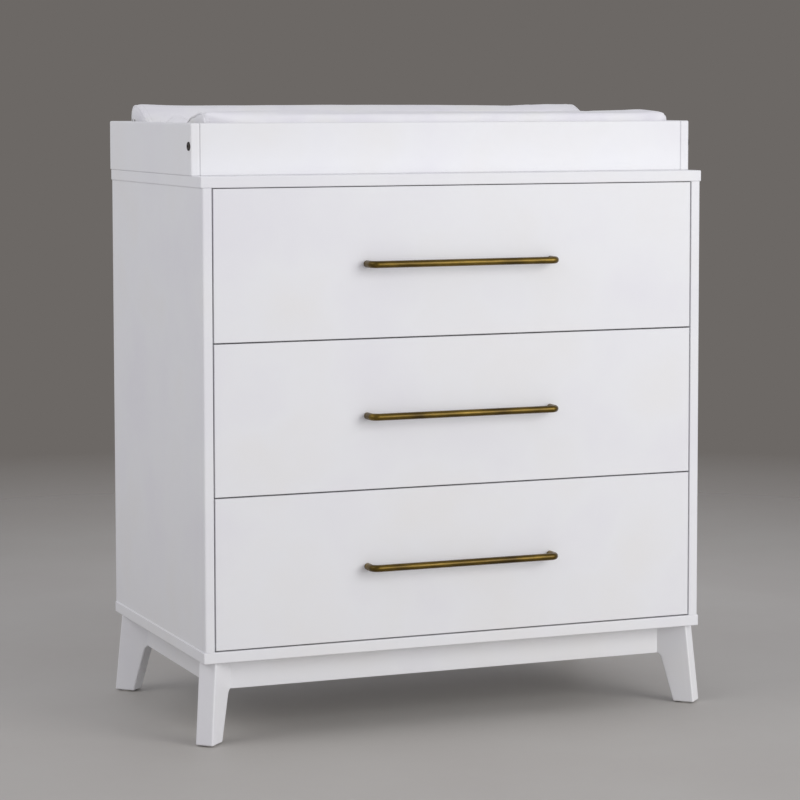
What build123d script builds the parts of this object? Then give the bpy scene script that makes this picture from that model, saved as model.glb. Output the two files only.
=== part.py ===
"""Changing table: a three-drawer dresser on a splayed-leg base, with a lift-off topper frame and its pad.

Millimetres, +Z up. X runs left to right along the front, the drawer fronts face -Y, and the origin is on the
floor under the middle of the whole outline. Each function below makes one group of sub-parts and adds them to
`nodes`; fasteners that are the same piece share one node.
"""
from build123d import *
from collections import defaultdict
from functools import lru_cache
from math import sqrt
import os

# ---------------------------------------------------------------- overall sizes
cabinet_width = 870.0        # over the top and bottom panels
cabinet_depth = 497.0
carcass_height = 763.0       # underside of the bottom panel to the dresser's top surface
base_height = 132.0          # floor to the underside of the bottom panel

# ---------------------------------------------------------------- cabinet boards
cap_thickness = 18.0         # top and bottom panels
side_thickness = 16.0
side_inset = 2.0             # the caps stand past the sides by this much
cap_edge_radius = 1.6
side_edge_radius = 3.0       # front outer edge of each side panel
reveal_edge_radius = 0.8     # its front inner edge, beside the drawer fronts
back_thickness = 4.0
back_recess = 10.0           # from the rear edges to the back panel's outer face
back_groove_depth = 6.0
back_groove_play = 0.4       # the groove is wider than the back panel
back_rail_height = 70.0
back_rail_thickness = 16.0
back_rail_cam_share = 0.65   # heights of its joints, as shares of the rail's height
back_rail_dowel_share = 0.25
drawer_rail_thickness = 18.0
drawer_rail_depth = 60.0
drawer_rail_setback = 22.0   # behind the drawers' outer faces
rail_cam_share = 0.3         # places of its joints, as shares of the rail's depth
rail_dowel_share = 0.75
front_cam_inset = 60.0       # cabinet's front plane to its first row of cams
back_cam_inset = 40.0        # back rail to the last row
front_dowel_inset = 28.0
middle_dowel_offset = 64.0   # behind the middle row of cams

# ---------------------------------------------------------------- drawers
drawer_count = 3
front_thickness = 16.0
front_gap = 2.3              # beside and below every drawer front
top_gap = 1.2                # between the top drawer front and the top panel
front_edge_radius = 0.8
box_board = 12.0             # thickness of the box sides and ends
box_edge_radius = 1.5        # along their top edges
box_lift = 14.0              # box underside above its front's lower edge
box_top_clearance = 33.5     # box top below its front's upper edge
box_back_clearance = 31.0    # box to the back rail
box_floor_thickness = 5.0
box_floor_lift = 12.0        # box underside to the floor panel
box_groove_depth = 6.0
box_groove_play = 0.2
box_screw_inset = 25.0       # corner screws, from the box's upper and lower edges
front_screw_rise = 45.0      # screws of the drawer front, from the same edges

# ---------------------------------------------------------------- ball-bearing slides
slide_end_clearance = 14.0   # the slides are this much shorter than the boxes
slide_width = 12.7           # cabinet side to drawer side
slide_height = 45.0
slide_sheet = 1.2
slide_start = 18.0           # behind the drawers' outer faces
slide_centre_lift = 60.0     # above the box underside
middle_member_height = 38.0
middle_member_web = 3.6      # from the cabinet side to the middle member's web
drawer_member_height = 31.0
cabinet_member_lip = 10.5    # how far each channel's flanges reach across the slide
drawer_member_lip = 6.2      # how near the drawer member's flanges come to the cabinet side
slide_first_screw = 70.0     # from the slide's front end
slide_last_screw = 80.0      # from its rear end
slide_member_stagger = 16.0  # the drawer member's screws lie this much further back

# ---------------------------------------------------------------- pulls
pull_centres = 320.0
pull_radius = 5.7
pull_reach = 32.0            # drawer face to the front of the bar
pull_bend = 9.5
pull_drop = 2.0              # below the middle of the drawer front
pull_tap_depth = 9.0

# ---------------------------------------------------------------- legs and aprons
leg_width = 30.0             # the outer face, square to the corner's diagonal
leg_foot_depth = 35.5        # along the diagonal, at the floor
leg_splay = 14.5             # how far the outer face leans out at the floor
leg_taper = 0.19             # growth of the depth per millimetre of height
leg_block_length = 88.0      # the upper block, along the diagonal
leg_knee_radius = 11.0
leg_edge_radius = 2.5
leg_inset_side = 10.5        # middle of the outer face, from the panel's side edge
leg_inset_front = 15.1
leg_inset_back = 28.6
apron_height = 50.0
apron_thickness = 18.0
apron_edge_radius = 1.2      # along the lower edges
apron_offset = 25.0          # from the middle of a leg's outer face to the apron's outer face
leg_screw_shares = (0.25, 0.5)    # along the upper block, from its outer face
apron_screw_side = 180.0     # front and back aprons' screws, from the middle
apron_screw_end = 80.0       # side aprons' screws, from their middle
glide_radius = 11.0
glide_height = 2.0
glide_edge_radius = 0.8
glide_stem_radius = 2.5
glide_stem_length = 12.0

# ---------------------------------------------------------------- corner plates and hanger bolts
plate_sheet = 2.0
plate_height = 36.0
plate_flange = 20.0
hanger_radius = 4.0
hanger_depth = 36.0          # in the leg
hanger_length = 50.0
hanger_nut_flats = 13.0
hanger_nut_height = 6.5
hanger_hole_play = 0.5       # in the plate, on the radius

# ---------------------------------------------------------------- topper
topper_height = 82.0
topper_wall = 16.0
topper_edge_radius = 2.5
topper_joint_radius = 0.8    # front wall's upright edges, beside the side walls
topper_foot_radius = 1.2     # outer lower edges, over the dresser's top
topper_bolt_height = 46.0    # above the dresser's top surface
topper_bolt_radius = 3.0
topper_bolt_length = 50.0
topper_bolt_head_radius = 7.0
topper_bolt_head_height = 1.8
topper_bolt_socket = 2.3     # hex socket, centre to corner
topper_front_dowel_share = 0.22   # heights of its dowels, as shares of the wall's height
topper_back_dowel_shares = (0.2, 0.8)
barrel_nut_radius = 5.0
barrel_nut_length = 12.0
barrel_nut_setback = 30.0    # from the front wall's end
join_plate_width = 60.0
join_plate_height = 56.0
join_plate_spacing = 560.0
join_plate_drop = 16.0       # how far the plate reaches below the dresser's top surface
join_plate_screw_inset = 9.0     # from the plate's edges
join_plate_corner_radius = 4.0

# ---------------------------------------------------------------- pad
pad_length = 813.0
pad_width = 406.0
pad_front_height = 101.0
pad_back_height = 109.0
pad_ridge_width = 86.0
pad_ridge_fall = 9.0         # how much the ridge's top drops towards the valley
pad_valley_height = 46.0
pad_valley_width = 120.0
pad_soft_radius = 9.0
pad_back_radius = 22.0       # the back ridge's outer edge
pad_rest_gap = 0.3
pad_side_clearance = 6.0     # to the topper's front and back walls
pad_end_clearance = 13.5     # to its side walls, with the pad in the middle
pad_offset_side = 3.0        # the loose pad lies this much right of the middle
belt_width = 38.0
belt_thickness = 1.6
belt_half_length = 34.0
buckle_length = 62.0
buckle_width = 46.0
buckle_height = 11.0
buckle_shell_reach = 10.0    # shell past the middle of the buckle
buckle_parting = 0.4         # between the shell and the plug
buckle_edge_radius = 2.0
buckle_shell_corner = 6.0
buckle_plug_corner = 5.0
buckle_plug_inset = 2.0      # the plug is this much narrower than the shell, each side
tongue_inset = 7.0           # from the shell's sides
tongue_reach = 11.0          # each way from the middle of the buckle
tongue_wall = 3.4            # from the shell's top and bottom faces
tongue_side_play = 1.0       # in the shell's slot
tongue_top_play = 0.4

# ---------------------------------------------------------------- fasteners
play = 0.1                   # around shanks, cams and dowels, on the radius
bottom_play = 1.0            # past the tip of a blind hole
cam_radius = 7.5
cam_depth = 12.0
cam_setback = 34.0           # from a board's edge to its cam
cam_slot_radius = 3.8
cam_bolt_radius = 2.8
cam_bolt_head_radius = 3.3
cam_bolt_head_length = 4.0
cam_bolt_thread = 11.0       # in the board that faces the joint
cam_bolt_bore = 3.9
dowel_radius = 4.0
dowel_length = 30.0
dowel_face_depth = 10.0
screw_radius = 2.0           # pan-head screw of the slides and plates
screw_length = 14.0
slide_screw_length = 12.0    # the shorter one in the thin drawer sides
pan_head_radius = 3.9
pan_head_height = 1.8
base_screw_radius = 2.5
base_screw_length = 40.0
box_screw_radius = 1.75
box_screw_length = 32.0
countersink_ratio = 2.0      # head radius over shank radius
front_screw_length = 24.0
front_screw_inset = 90.0     # from the box's inner faces, along X
recess_depth = 1.1
recess_width = 0.9
nail_radius = 0.8
nail_length = 14.0
nail_head_radius = 2.0
nail_head_height = 0.8
nail_count = 8
nail_end_inset = 30.0        # first and last nail, from the side panels
nail_lift = 12.0             # above the back rail's lower edge
anchor_spacing = 600.0       # between the two strap anchors on the back
anchor_plate_width = 46.0
anchor_plate_height = 16.0
anchor_plate_sheet = 2.0
anchor_bridge_width = 18.0
anchor_bridge_height = 8.0
anchor_slot_width = 11.0
anchor_slot_height = 3.6
anchor_edge_radius = 1.5

# ---------------------------------------------------------------- places that follow from the sizes
root2 = sqrt(2)
overall_depth = pull_reach + cabinet_depth + plate_sheet + pan_head_height
front_y = pull_reach - overall_depth / 2
back_y = front_y + cabinet_depth
half_width = cabinet_width / 2
side_outer = half_width - side_inset
side_inner = side_outer - side_thickness
base_z = base_height
floor_z = base_z + cap_thickness
top_z = base_z + carcass_height
ceiling_z = top_z - cap_thickness
opening_height = ceiling_z - floor_z
front_height = (opening_height - drawer_count * front_gap - top_gap) / drawer_count
drawer_pitch = front_height + front_gap
back_panel_front = back_y - back_recess - back_thickness
box_outer = side_inner - slide_width
box_inner = box_outer - box_board
box_front = front_y + front_thickness
box_back = back_panel_front - back_rail_thickness - box_back_clearance
box_height = front_height - box_lift - box_top_clearance
slide_length = box_back - box_front - slide_end_clearance
topper_inner_half = pad_length / 2 + pad_end_clearance
topper_inner_depth = pad_width + 2 * pad_side_clearance
leg_front_y = front_y + leg_inset_front
leg_back_y = back_y - leg_inset_back
leg_x = half_width - leg_inset_side
drawer_names = ["bottom", "middle", "top"]

nodes = {}
cuts = defaultdict(list)
group = defaultdict(list)


def block(x0, x1, y0, y1, z0, z1):
    """A rectangular board between two corners."""
    return Pos((x0 + x1) / 2, (y0 + y1) / 2, (z0 + z1) / 2) * Box(x1 - x0, y1 - y0, z1 - z0)


def rod(start, along, radius, length):
    """A round bar or bore that begins at a point."""
    place = Plane(origin=start, z_dir=along)
    return place * Cylinder(radius, length, align=(Align.CENTER, Align.CENTER, Align.MIN))


def cross_recess(radius):
    """The cross slot of a screw or cam head, cut into a face at z = 0 from below."""
    long_side = radius * 1.1
    return Box(long_side, recess_width, 2 * recess_depth) + Box(recess_width, long_side, 2 * recess_depth)


def round_head(radius, height):
    """A low round head under z = 0, its outer edge softened."""
    head = Pos(0, 0, -height / 2) * Cylinder(radius, height)
    return fillet(head.edges().filter_by(GeomType.CIRCLE).sort_by(Axis.Z)[0], height * 0.6)


@lru_cache
def pan_screw_shape(radius, length):
    """A pan-head screw along +Z, its head's underside at z = 0."""
    screw = round_head(pan_head_radius, pan_head_height) + rod((0, 0, 0), (0, 0, 1), radius, length)
    return screw - Pos(0, 0, -pan_head_height) * cross_recess(pan_head_radius)


@lru_cache
def flush_screw_shape(radius, length):
    """A countersunk screw along +Z, its head's face at z = 0."""
    head_radius = radius * countersink_ratio
    low = (Align.CENTER, Align.CENTER, Align.MIN)
    head = Cone(head_radius, radius, head_radius - radius, align=low)
    return head + rod((0, 0, 0), (0, 0, 1), radius, length) - cross_recess(head_radius)


def pan_screw(node, seat, into, length, boards, radius=screw_radius):
    """A pan-head screw whose head sits on `seat`, with its pilot hole in each of the boards."""
    group[node].append(Plane(origin=seat, z_dir=into) * pan_screw_shape(radius, length))
    hole = rod(seat, into, radius + play, length + bottom_play)
    for board in boards:
        cuts[board].append(hole)


def flush_screw(node, seat, into, radius, length, boards):
    """A countersunk screw, flush with the face at `seat`, with its hole in each of the boards."""
    place = Plane(origin=seat, z_dir=into)
    group[node].append(place * flush_screw_shape(radius, length))
    head_radius = radius * countersink_ratio
    low = (Align.CENTER, Align.CENTER, Align.MIN)
    sink = place * Cone(head_radius + 2 * play, radius + play, head_radius - radius + play, align=low)
    hole = sink + rod(seat, into, radius + play, length + bottom_play)
    for board in boards:
        cuts[board].append(hole)


def cam_joint(point, into_edge, cam_side, edge_thickness, face_board, edge_board):
    """A knock-down joint: a bolt in the facing board, drawn up by a cam in the edge-on board.

    `point` is on the joint, half way through the edge-on board; `cam_side` points to the face that the cam is
    let into.
    """
    point = Vector(*point)
    into = Vector(*into_edge)
    out = Vector(*cam_side)
    centre = point + into * cam_setback
    pocket_floor = centre + out * (edge_thickness / 2 - cam_depth)
    neck = cam_setback - cam_bolt_head_length
    bolt = rod(point - into * cam_bolt_thread, into, cam_bolt_radius, cam_bolt_thread + neck)
    bolt += rod(point + into * neck, into, cam_bolt_head_radius, cam_bolt_head_length)
    cam = rod(pocket_floor, out, cam_radius, cam_depth)
    cam -= rod(centre + into * bottom_play, -into, cam_slot_radius, cam_radius + 2 * bottom_play)
    cam -= Plane(origin=pocket_floor + out * cam_depth, z_dir=-out) * cross_recess(cam_radius)
    group["cam_bolts"].append(bolt)
    group["cam_locks"].append(cam)
    cuts[face_board].append(rod(point, -into, cam_bolt_radius + play, cam_bolt_thread + bottom_play))
    cuts[edge_board].append(rod(point, into, cam_bolt_bore, cam_setback))
    cuts[edge_board].append(rod(pocket_floor - out * play, out, cam_radius + play, cam_depth + 2 * bottom_play))


def dowel_joint(point, into_edge, face_board, edge_board):
    """A glued dowel across a joint."""
    point = Vector(*point)
    into = Vector(*into_edge)
    start = point - into * dowel_face_depth
    group["dowels"].append(rod(start, into, dowel_radius, dowel_length))
    hole = rod(start - into * bottom_play, into, dowel_radius + play, dowel_length + 2 * bottom_play)
    cuts[face_board].append(hole)
    cuts[edge_board].append(hole)


def make_cabinet():
    """The box of the dresser: caps, sides, back panel, back rail and the rails between the drawers."""
    for name, z0, z1 in (("top_panel", ceiling_z, top_z), ("bottom_panel", base_z, floor_z)):
        cap = block(-half_width, half_width, front_y, back_y, z0, z1)
        nodes[name] = fillet(cap.edges(), cap_edge_radius)
    groove = block(
        -side_inner - back_groove_depth, side_inner + back_groove_depth,
        back_panel_front - back_groove_play / 2, back_panel_front + back_thickness + back_groove_play / 2,
        floor_z - back_groove_depth, ceiling_z + back_groove_depth)
    reach = back_groove_depth - back_groove_play
    nodes["back_panel"] = block(
        -side_inner - reach, side_inner + reach, back_panel_front, back_panel_front + back_thickness,
        floor_z - back_groove_depth, ceiling_z + reach)
    for name, side in (("side_panel_left", -1), ("side_panel_right", 1)):
        x0, x1 = sorted((side * side_inner, side * side_outer))
        panel = block(x0, x1, front_y, back_y, floor_z, ceiling_z)
        inner_edge, outer_edge = sorted(
            panel.edges().filter_by(Axis.Z).group_by(Axis.Y)[0], key=lambda edge: abs(edge.center().X))
        panel = fillet(outer_edge, side_edge_radius)
        inner_edge = panel.edges().filter_by(Axis.Z).sort_by_distance(inner_edge.center())[0]
        nodes[name] = fillet(inner_edge, reveal_edge_radius)
        cuts[name].append(groove)
    cuts["top_panel"].append(groove)
    cuts["bottom_panel"].append(groove)

    rail_y = back_panel_front - back_rail_thickness
    rail_z = ceiling_z - back_rail_height
    nodes["back_rail"] = block(-side_inner, side_inner, rail_y, back_panel_front, rail_z, ceiling_z)
    rails = []
    for level in range(1, drawer_count):
        middle = floor_z + front_gap / 2 + level * drawer_pitch
        low = middle - drawer_rail_thickness / 2
        start = front_y + drawer_rail_setback
        rails.append(block(-side_inner, side_inner, start, start + drawer_rail_depth,
                           low, low + drawer_rail_thickness))
    nodes["drawer_rails"] = rails
    join_cabinet(rail_y, rail_z)


def join_cabinet(rail_y, rail_z):
    """Cams, dowels and nails that hold the cabinet's boards together."""
    side_middle = side_inner + side_thickness / 2
    middle_row = front_y + cabinet_depth / 2
    cam_rows = [front_y + front_cam_inset, middle_row, rail_y - back_cam_inset]
    dowel_rows = [front_y + front_dowel_inset, middle_row + middle_dowel_offset]
    for name, side in (("side_panel_left", -1), ("side_panel_right", 1)):
        for cap, z, into in (("top_panel", ceiling_z, -1), ("bottom_panel", floor_z, 1)):
            for y in cam_rows:
                cam_joint((side * side_middle, y, z), (0, 0, into), (-side, 0, 0), side_thickness, cap, name)
            for y in dowel_rows:
                dowel_joint((side * side_middle, y, z), (0, 0, into), cap, name)
        into = (-side, 0, 0)
        start = front_y + drawer_rail_setback
        for level in range(1, drawer_count):
            z = floor_z + front_gap / 2 + level * drawer_pitch
            cam_joint((side * side_inner, start + drawer_rail_depth * rail_cam_share, z), into, (0, 0, -1),
                      drawer_rail_thickness, name, "drawer_rails")
            dowel_joint((side * side_inner, start + drawer_rail_depth * rail_dowel_share, z), into, name,
                        "drawer_rails")
        y = rail_y + back_rail_thickness / 2
        cam_joint((side * side_inner, y, rail_z + back_rail_height * back_rail_cam_share), into, (0, -1, 0),
                  back_rail_thickness, name, "back_rail")
        dowel_joint((side * side_inner, y, rail_z + back_rail_height * back_rail_dowel_share), into, name,
                    "back_rail")
    nail_run = 2 * (side_inner - nail_end_inset)
    back_face = back_panel_front + back_thickness
    for index in range(nail_count):
        x = -nail_run / 2 + nail_run * index / (nail_count - 1)
        seat = (x, back_face, rail_z + nail_lift)
        nail = rod(seat, (0, -1, 0), nail_radius, nail_length)
        nail += rod(seat, (0, 1, 0), nail_head_radius, nail_head_height)
        group["back_nails"].append(nail)
        hole = rod(seat, (0, -1, 0), nail_radius + play, nail_length + bottom_play)
        cuts["back_panel"].append(hole)
        cuts["back_rail"].append(hole)


def make_strap_anchors():
    """Two moulded anchors on the back, each with a slot for the strap that ties the dresser to the wall."""
    face = back_panel_front + back_thickness
    z = ceiling_z - back_rail_height / 2
    anchors = []
    for side in (-1, 1):
        x = side * anchor_spacing / 2
        plate = block(x - anchor_plate_width / 2, x + anchor_plate_width / 2, face, face + anchor_plate_sheet,
                      z - anchor_plate_height / 2, z + anchor_plate_height / 2)
        bridge = block(x - anchor_bridge_width / 2, x + anchor_bridge_width / 2,
                       face, face + anchor_bridge_height,
                       z - anchor_plate_height / 2, z + anchor_plate_height / 2)
        outer = bridge.edges().group_by(Axis.Y)[-1]
        bridge = fillet(outer, anchor_edge_radius)
        slot = block(x - anchor_slot_width / 2, x + anchor_slot_width / 2,
                     face + anchor_plate_sheet, face + anchor_plate_sheet + anchor_slot_height,
                     z - anchor_plate_height, z + anchor_plate_height)
        anchors.append(plate + bridge - slot)
        for hole_side in (-1, 1):
            offset = hole_side * (anchor_plate_width + anchor_bridge_width) / 4
            pan_screw("plate_screws", (x + offset, face + anchor_plate_sheet, z), (0, -1, 0), screw_length,
                      ["strap_anchors", "back_panel", "back_rail"])
    nodes["strap_anchors"] = anchors


def leg_shape():
    """One leg: its outer face on x = 0 at the top, the corner's diagonal along x, the top at z = 0."""
    foot = glide_height - base_height
    lean = leg_splay / base_height

    def outer(z):
        return -z * lean

    def inner(z):
        return outer(z) - leg_foot_depth - leg_taper * (z + base_height)

    outline = Polygon(
        (0, 0), (outer(foot), foot), (inner(foot), foot), (inner(-apron_height), -apron_height),
        (-leg_block_length, -apron_height), (-leg_block_length, 0), align=None)
    knee = outline.vertices().sort_by_distance((inner(-apron_height), -apron_height, 0))[0]
    outline = fillet(knee, leg_knee_radius)
    leg = extrude(Plane.XZ * outline, leg_width / 2, both=True)
    leg = fillet(leg.edges(), leg_edge_radius)
    stem = rod((foot_centre(), 0, foot), (0, 0, 1), glide_stem_radius + play, glide_stem_length + bottom_play)
    bore = rod((-leg_block_length, 0, -apron_height / 2), (1, 0, 0), hanger_radius + play,
               hanger_depth + bottom_play)
    return leg - stem - bore


def foot_centre():
    """Middle of the foot along the diagonal, from the outer face's top."""
    lean = leg_splay / base_height
    return (base_height - glide_height) * lean - leg_foot_depth / 2


def corner_plate():
    """The bent plate behind one leg, in that leg's own directions, with its two flanges along the aprons."""
    s = leg_block_length
    half = leg_block_length - (apron_offset + apron_thickness) * root2
    run = plate_flange / root2
    t = plate_sheet
    step = t / root2
    mitre = t * (root2 - 1)
    points = [
        (-s - run, -half - run), (-s, -half), (-s, half), (-s - run, half + run),
        (-s - run - step, half + run - step), (-s - t, half - mitre),
        (-s - t, mitre - half), (-s - run - step, -half - run + step)]
    plate = extrude(Polygon(*points, align=None), plate_height)
    plate = Pos(0, 0, -apron_height / 2 - plate_height / 2) * plate
    bolt_hole = rod((-s + t, 0, -apron_height / 2), (-1, 0, 0), hanger_radius + hanger_hole_play, 3 * t)
    return plate - bolt_hole


def make_base():
    """Four legs turned to the corners, the aprons mitred between them, and what ties them together."""
    corners = []
    for name, side, end, y in (
            ("front_left_leg", -1, -1, leg_front_y), ("front_right_leg", 1, -1, leg_front_y),
            ("back_left_leg", -1, 1, leg_back_y), ("back_right_leg", 1, 1, leg_back_y)):
        place = Plane(origin=(side * leg_x, y, base_z), x_dir=(side, end, 0), z_dir=(0, 0, 1))
        corners.append((name, side, end, place))
        nodes[name] = place * leg_shape()

    inner_x = leg_x - apron_offset - apron_thickness / 2
    front_mid = leg_front_y + apron_offset + apron_thickness / 2
    back_mid = leg_back_y - apron_offset - apron_thickness / 2
    low = base_z - apron_height
    half = apron_thickness / 2
    notch_length = 3 * leg_block_length
    notches = []
    for name, side, end, place in corners:
        notches.append(place * Pos(-notch_length / 4, 0, -apron_height / 2)
                       * Box(notch_length, leg_width, 2 * apron_height))

    def apron(x0, x1, y0, y1):
        board = block(x0, x1, y0, y1, low, base_z)
        run = Axis.X if x1 - x0 > y1 - y0 else Axis.Y
        return fillet(board.edges().filter_by(run).group_by(Axis.Z)[0], apron_edge_radius) - notches

    nodes["front_apron"] = apron(-inner_x, inner_x, front_mid - half, front_mid + half)
    nodes["back_apron"] = apron(-inner_x, inner_x, back_mid - half, back_mid + half)
    nodes["side_aprons"] = [
        apron(side * inner_x - half, side * inner_x + half, front_mid, back_mid) for side in (-1, 1)]

    for name, side, end, place in corners:
        join_corner(name, place)
    screw_rows = [(x, y, board) for x in (-apron_screw_side, apron_screw_side)
                  for y, board in ((front_mid, "front_apron"), (back_mid, "back_apron"))]
    screw_rows += [(side * inner_x, (front_mid + back_mid) / 2 + step, "side_aprons")
                   for side in (-1, 1) for step in (-apron_screw_end, apron_screw_end)]
    for x, y, board in screw_rows:
        flush_screw("base_screws", (x, y, floor_z), (0, 0, -1), base_screw_radius, base_screw_length,
                    ["bottom_panel", board])


def join_corner(leg, place):
    """One corner's plate, hanger bolt and nut, its screws, and the glide under its foot."""

    def world(x, y, z):
        return place.from_local_coords(Vector(x, y, z))

    def turned(x, y, z):
        return place.from_local_coords(Vector(x, y, z)) - place.origin

    group["corner_plates"].append(place * corner_plate())
    nut_face = -leg_block_length - plate_sheet
    height = -apron_height / 2
    group["hanger_bolts"].append(
        rod(world(hanger_depth - leg_block_length, 0, height), turned(-1, 0, 0), hanger_radius, hanger_length))
    nut = extrude(RegularPolygon(hanger_nut_flats / 2, 6, major_radius=False), hanger_nut_height)
    nut -= Cylinder(hanger_radius + play, 3 * hanger_nut_height)
    group["hanger_nuts"].append(Plane(origin=world(nut_face, 0, height), z_dir=turned(-1, 0, 0)) * nut)

    half = leg_block_length - (apron_offset + apron_thickness) * root2
    middle = plate_flange / 2 / root2
    step = plate_sheet / root2
    for across in (-1, 1):
        apron = apron_beside(leg, across)
        for z in (height - plate_height / 4, height + plate_height / 4):
            seat = world(-leg_block_length - middle - step, across * (half + middle - step), z)
            pan_screw("plate_screws", seat, turned(1, across, 0), screw_length, ["corner_plates", apron])
    for share in leg_screw_shares:
        seat = world(-leg_block_length * share, 0, cap_thickness)
        flush_screw("base_screws", seat, (0, 0, -1), base_screw_radius, base_screw_length,
                    ["bottom_panel", leg])
    glide = rod(world(foot_centre(), 0, -base_height), (0, 0, 1), glide_radius, glide_height)
    glide = fillet(glide.edges().group_by(Axis.Z)[0], glide_edge_radius)
    glide += rod(world(foot_centre(), 0, glide_height - base_height), (0, 0, 1), glide_stem_radius,
                 glide_stem_length)
    group["foot_glides"].append(glide)


def apron_beside(leg, across):
    """The apron that a corner plate's flange lies on, for the flange on one side of the diagonal."""
    turns = {"front_left_leg": 1, "front_right_leg": -1, "back_left_leg": -1, "back_right_leg": 1}
    if across == turns[leg]:
        return "front_apron" if leg.startswith("front") else "back_apron"
    return "side_aprons"


def channel(side, web, lip, height, y0, z):
    """A rolled slide channel, given across the slide from the cabinet side: its web and its flanges' tips."""
    reach = 1 if lip > web else -1
    far = web + reach * slide_sheet

    def across(a, b, z0, z1):
        x0, x1 = sorted((side * (side_inner - a), side * (side_inner - b)))
        return block(x0, x1, y0, y0 + slide_length, z0, z1)

    shape = across(web, far, z - height / 2, z + height / 2)
    shape += across(web, lip, z + height / 2 - slide_sheet, z + height / 2)
    shape += across(web, lip, z - height / 2, z - height / 2 + slide_sheet)
    return shape


def make_slides(drawer, z):
    """Both slides of one drawer: the cabinet, middle and drawer members and their screws."""
    y0 = front_y + slide_start
    middle_node = "slide_middle_members_" + drawer
    drawer_node = "slide_drawer_members_" + drawer
    for side, panel in ((-1, "side_panel_left"), (1, "side_panel_right")):
        group["slide_cabinet_members"].append(channel(side, 0, cabinet_member_lip, slide_height, y0, z))
        group[middle_node].append(
            channel(side, middle_member_web, cabinet_member_lip, middle_member_height, y0, z))
        group[drawer_node].append(channel(side, slide_width, drawer_member_lip, drawer_member_height, y0, z))
        screw_run = slide_length - slide_first_screw - slide_last_screw
        for share in (0, 0.5, 1):
            y = y0 + slide_first_screw + share * screw_run
            pan_screw("plate_screws", (side * (side_inner - slide_sheet), y, z), (side, 0, 0), screw_length,
                      ["slide_cabinet_members", panel])
            pan_screw("drawer_screws_" + drawer, (side * (box_outer + slide_sheet), y + slide_member_stagger, z),
                      (-side, 0, 0), slide_screw_length, [drawer_node, "box_sides_" + drawer])


def make_drawer(index, drawer):
    """One drawer: its inset front, its box, its floor, its pull and its slides."""
    low = floor_z + front_gap + index * drawer_pitch
    face_half = side_inner - front_gap
    front = block(-face_half, face_half, front_y, box_front, low, low + front_height)
    nodes["drawer_front_" + drawer] = fillet(front.edges().group_by(Axis.Y)[0], front_edge_radius)

    box_z = low + box_lift
    top = box_z + box_height
    sides = [block(side * (box_inner + box_board / 2) - box_board / 2,
                   side * (box_inner + box_board / 2) + box_board / 2,
                   box_front, box_back, box_z, top) for side in (-1, 1)]
    ends = [block(-box_inner, box_inner, y, y + box_board, box_z, top)
            for y in (box_front, box_back - box_board)]
    nodes["box_sides_" + drawer] = [
        fillet(board.edges().filter_by(Axis.Y).group_by(Axis.Z)[-1], box_edge_radius) for board in sides]
    nodes["box_ends_" + drawer] = [
        fillet(board.edges().filter_by(Axis.X).group_by(Axis.Z)[-1], box_edge_radius) for board in ends]
    floor_low = box_z + box_floor_lift
    reach = box_groove_depth - box_groove_play
    nodes["box_floor_" + drawer] = block(
        -box_inner - reach, box_inner + reach,
        box_front + box_board - reach, box_back - box_board + reach,
        floor_low, floor_low + box_floor_thickness)
    groove = block(
        -box_inner - box_groove_depth, box_inner + box_groove_depth,
        box_front + box_board - box_groove_depth, box_back - box_board + box_groove_depth,
        floor_low, floor_low + box_floor_thickness + box_groove_play)
    cuts["box_sides_" + drawer].append(groove)
    cuts["box_ends_" + drawer].append(groove)

    screws = "drawer_screws_" + drawer
    for side in (-1, 1):
        for y in (box_front + box_board / 2, box_back - box_board / 2):
            for z in (box_z + box_screw_inset, top - box_screw_inset):
                flush_screw(screws, (side * box_outer, y, z), (-side, 0, 0), box_screw_radius,
                            box_screw_length, ["box_sides_" + drawer, "box_ends_" + drawer])
        for z in (box_z + front_screw_rise, top - front_screw_rise):
            pan_screw(screws, (side * (box_inner - front_screw_inset), box_front + box_board, z), (0, -1, 0),
                      front_screw_length, ["box_ends_" + drawer, "drawer_front_" + drawer])
    make_pull(drawer, low + front_height / 2 - pull_drop)
    make_slides(drawer, box_z + slide_centre_lift)


def make_pull(drawer, z):
    """A slim round bar pull with bent ends, and the two screws that hold it from inside the drawer."""
    half = pull_centres / 2
    bar_y = front_y - pull_reach + pull_radius
    path = FilletPolyline((-half, front_y, z), (-half, bar_y, z), (half, bar_y, z), (half, front_y, z),
                          radius=pull_bend)
    section = Plane(origin=(-half, front_y, z), z_dir=(0, -1, 0)) * Circle(pull_radius)
    nodes["pull_" + drawer] = sweep(section, path=path)
    for side in (-1, 1):
        pan_screw("drawer_screws_" + drawer, (side * half, box_front + box_board, z), (0, -1, 0),
                  box_board + front_thickness + pull_tap_depth,
                  ["box_ends_" + drawer, "drawer_front_" + drawer, "pull_" + drawer])


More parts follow.
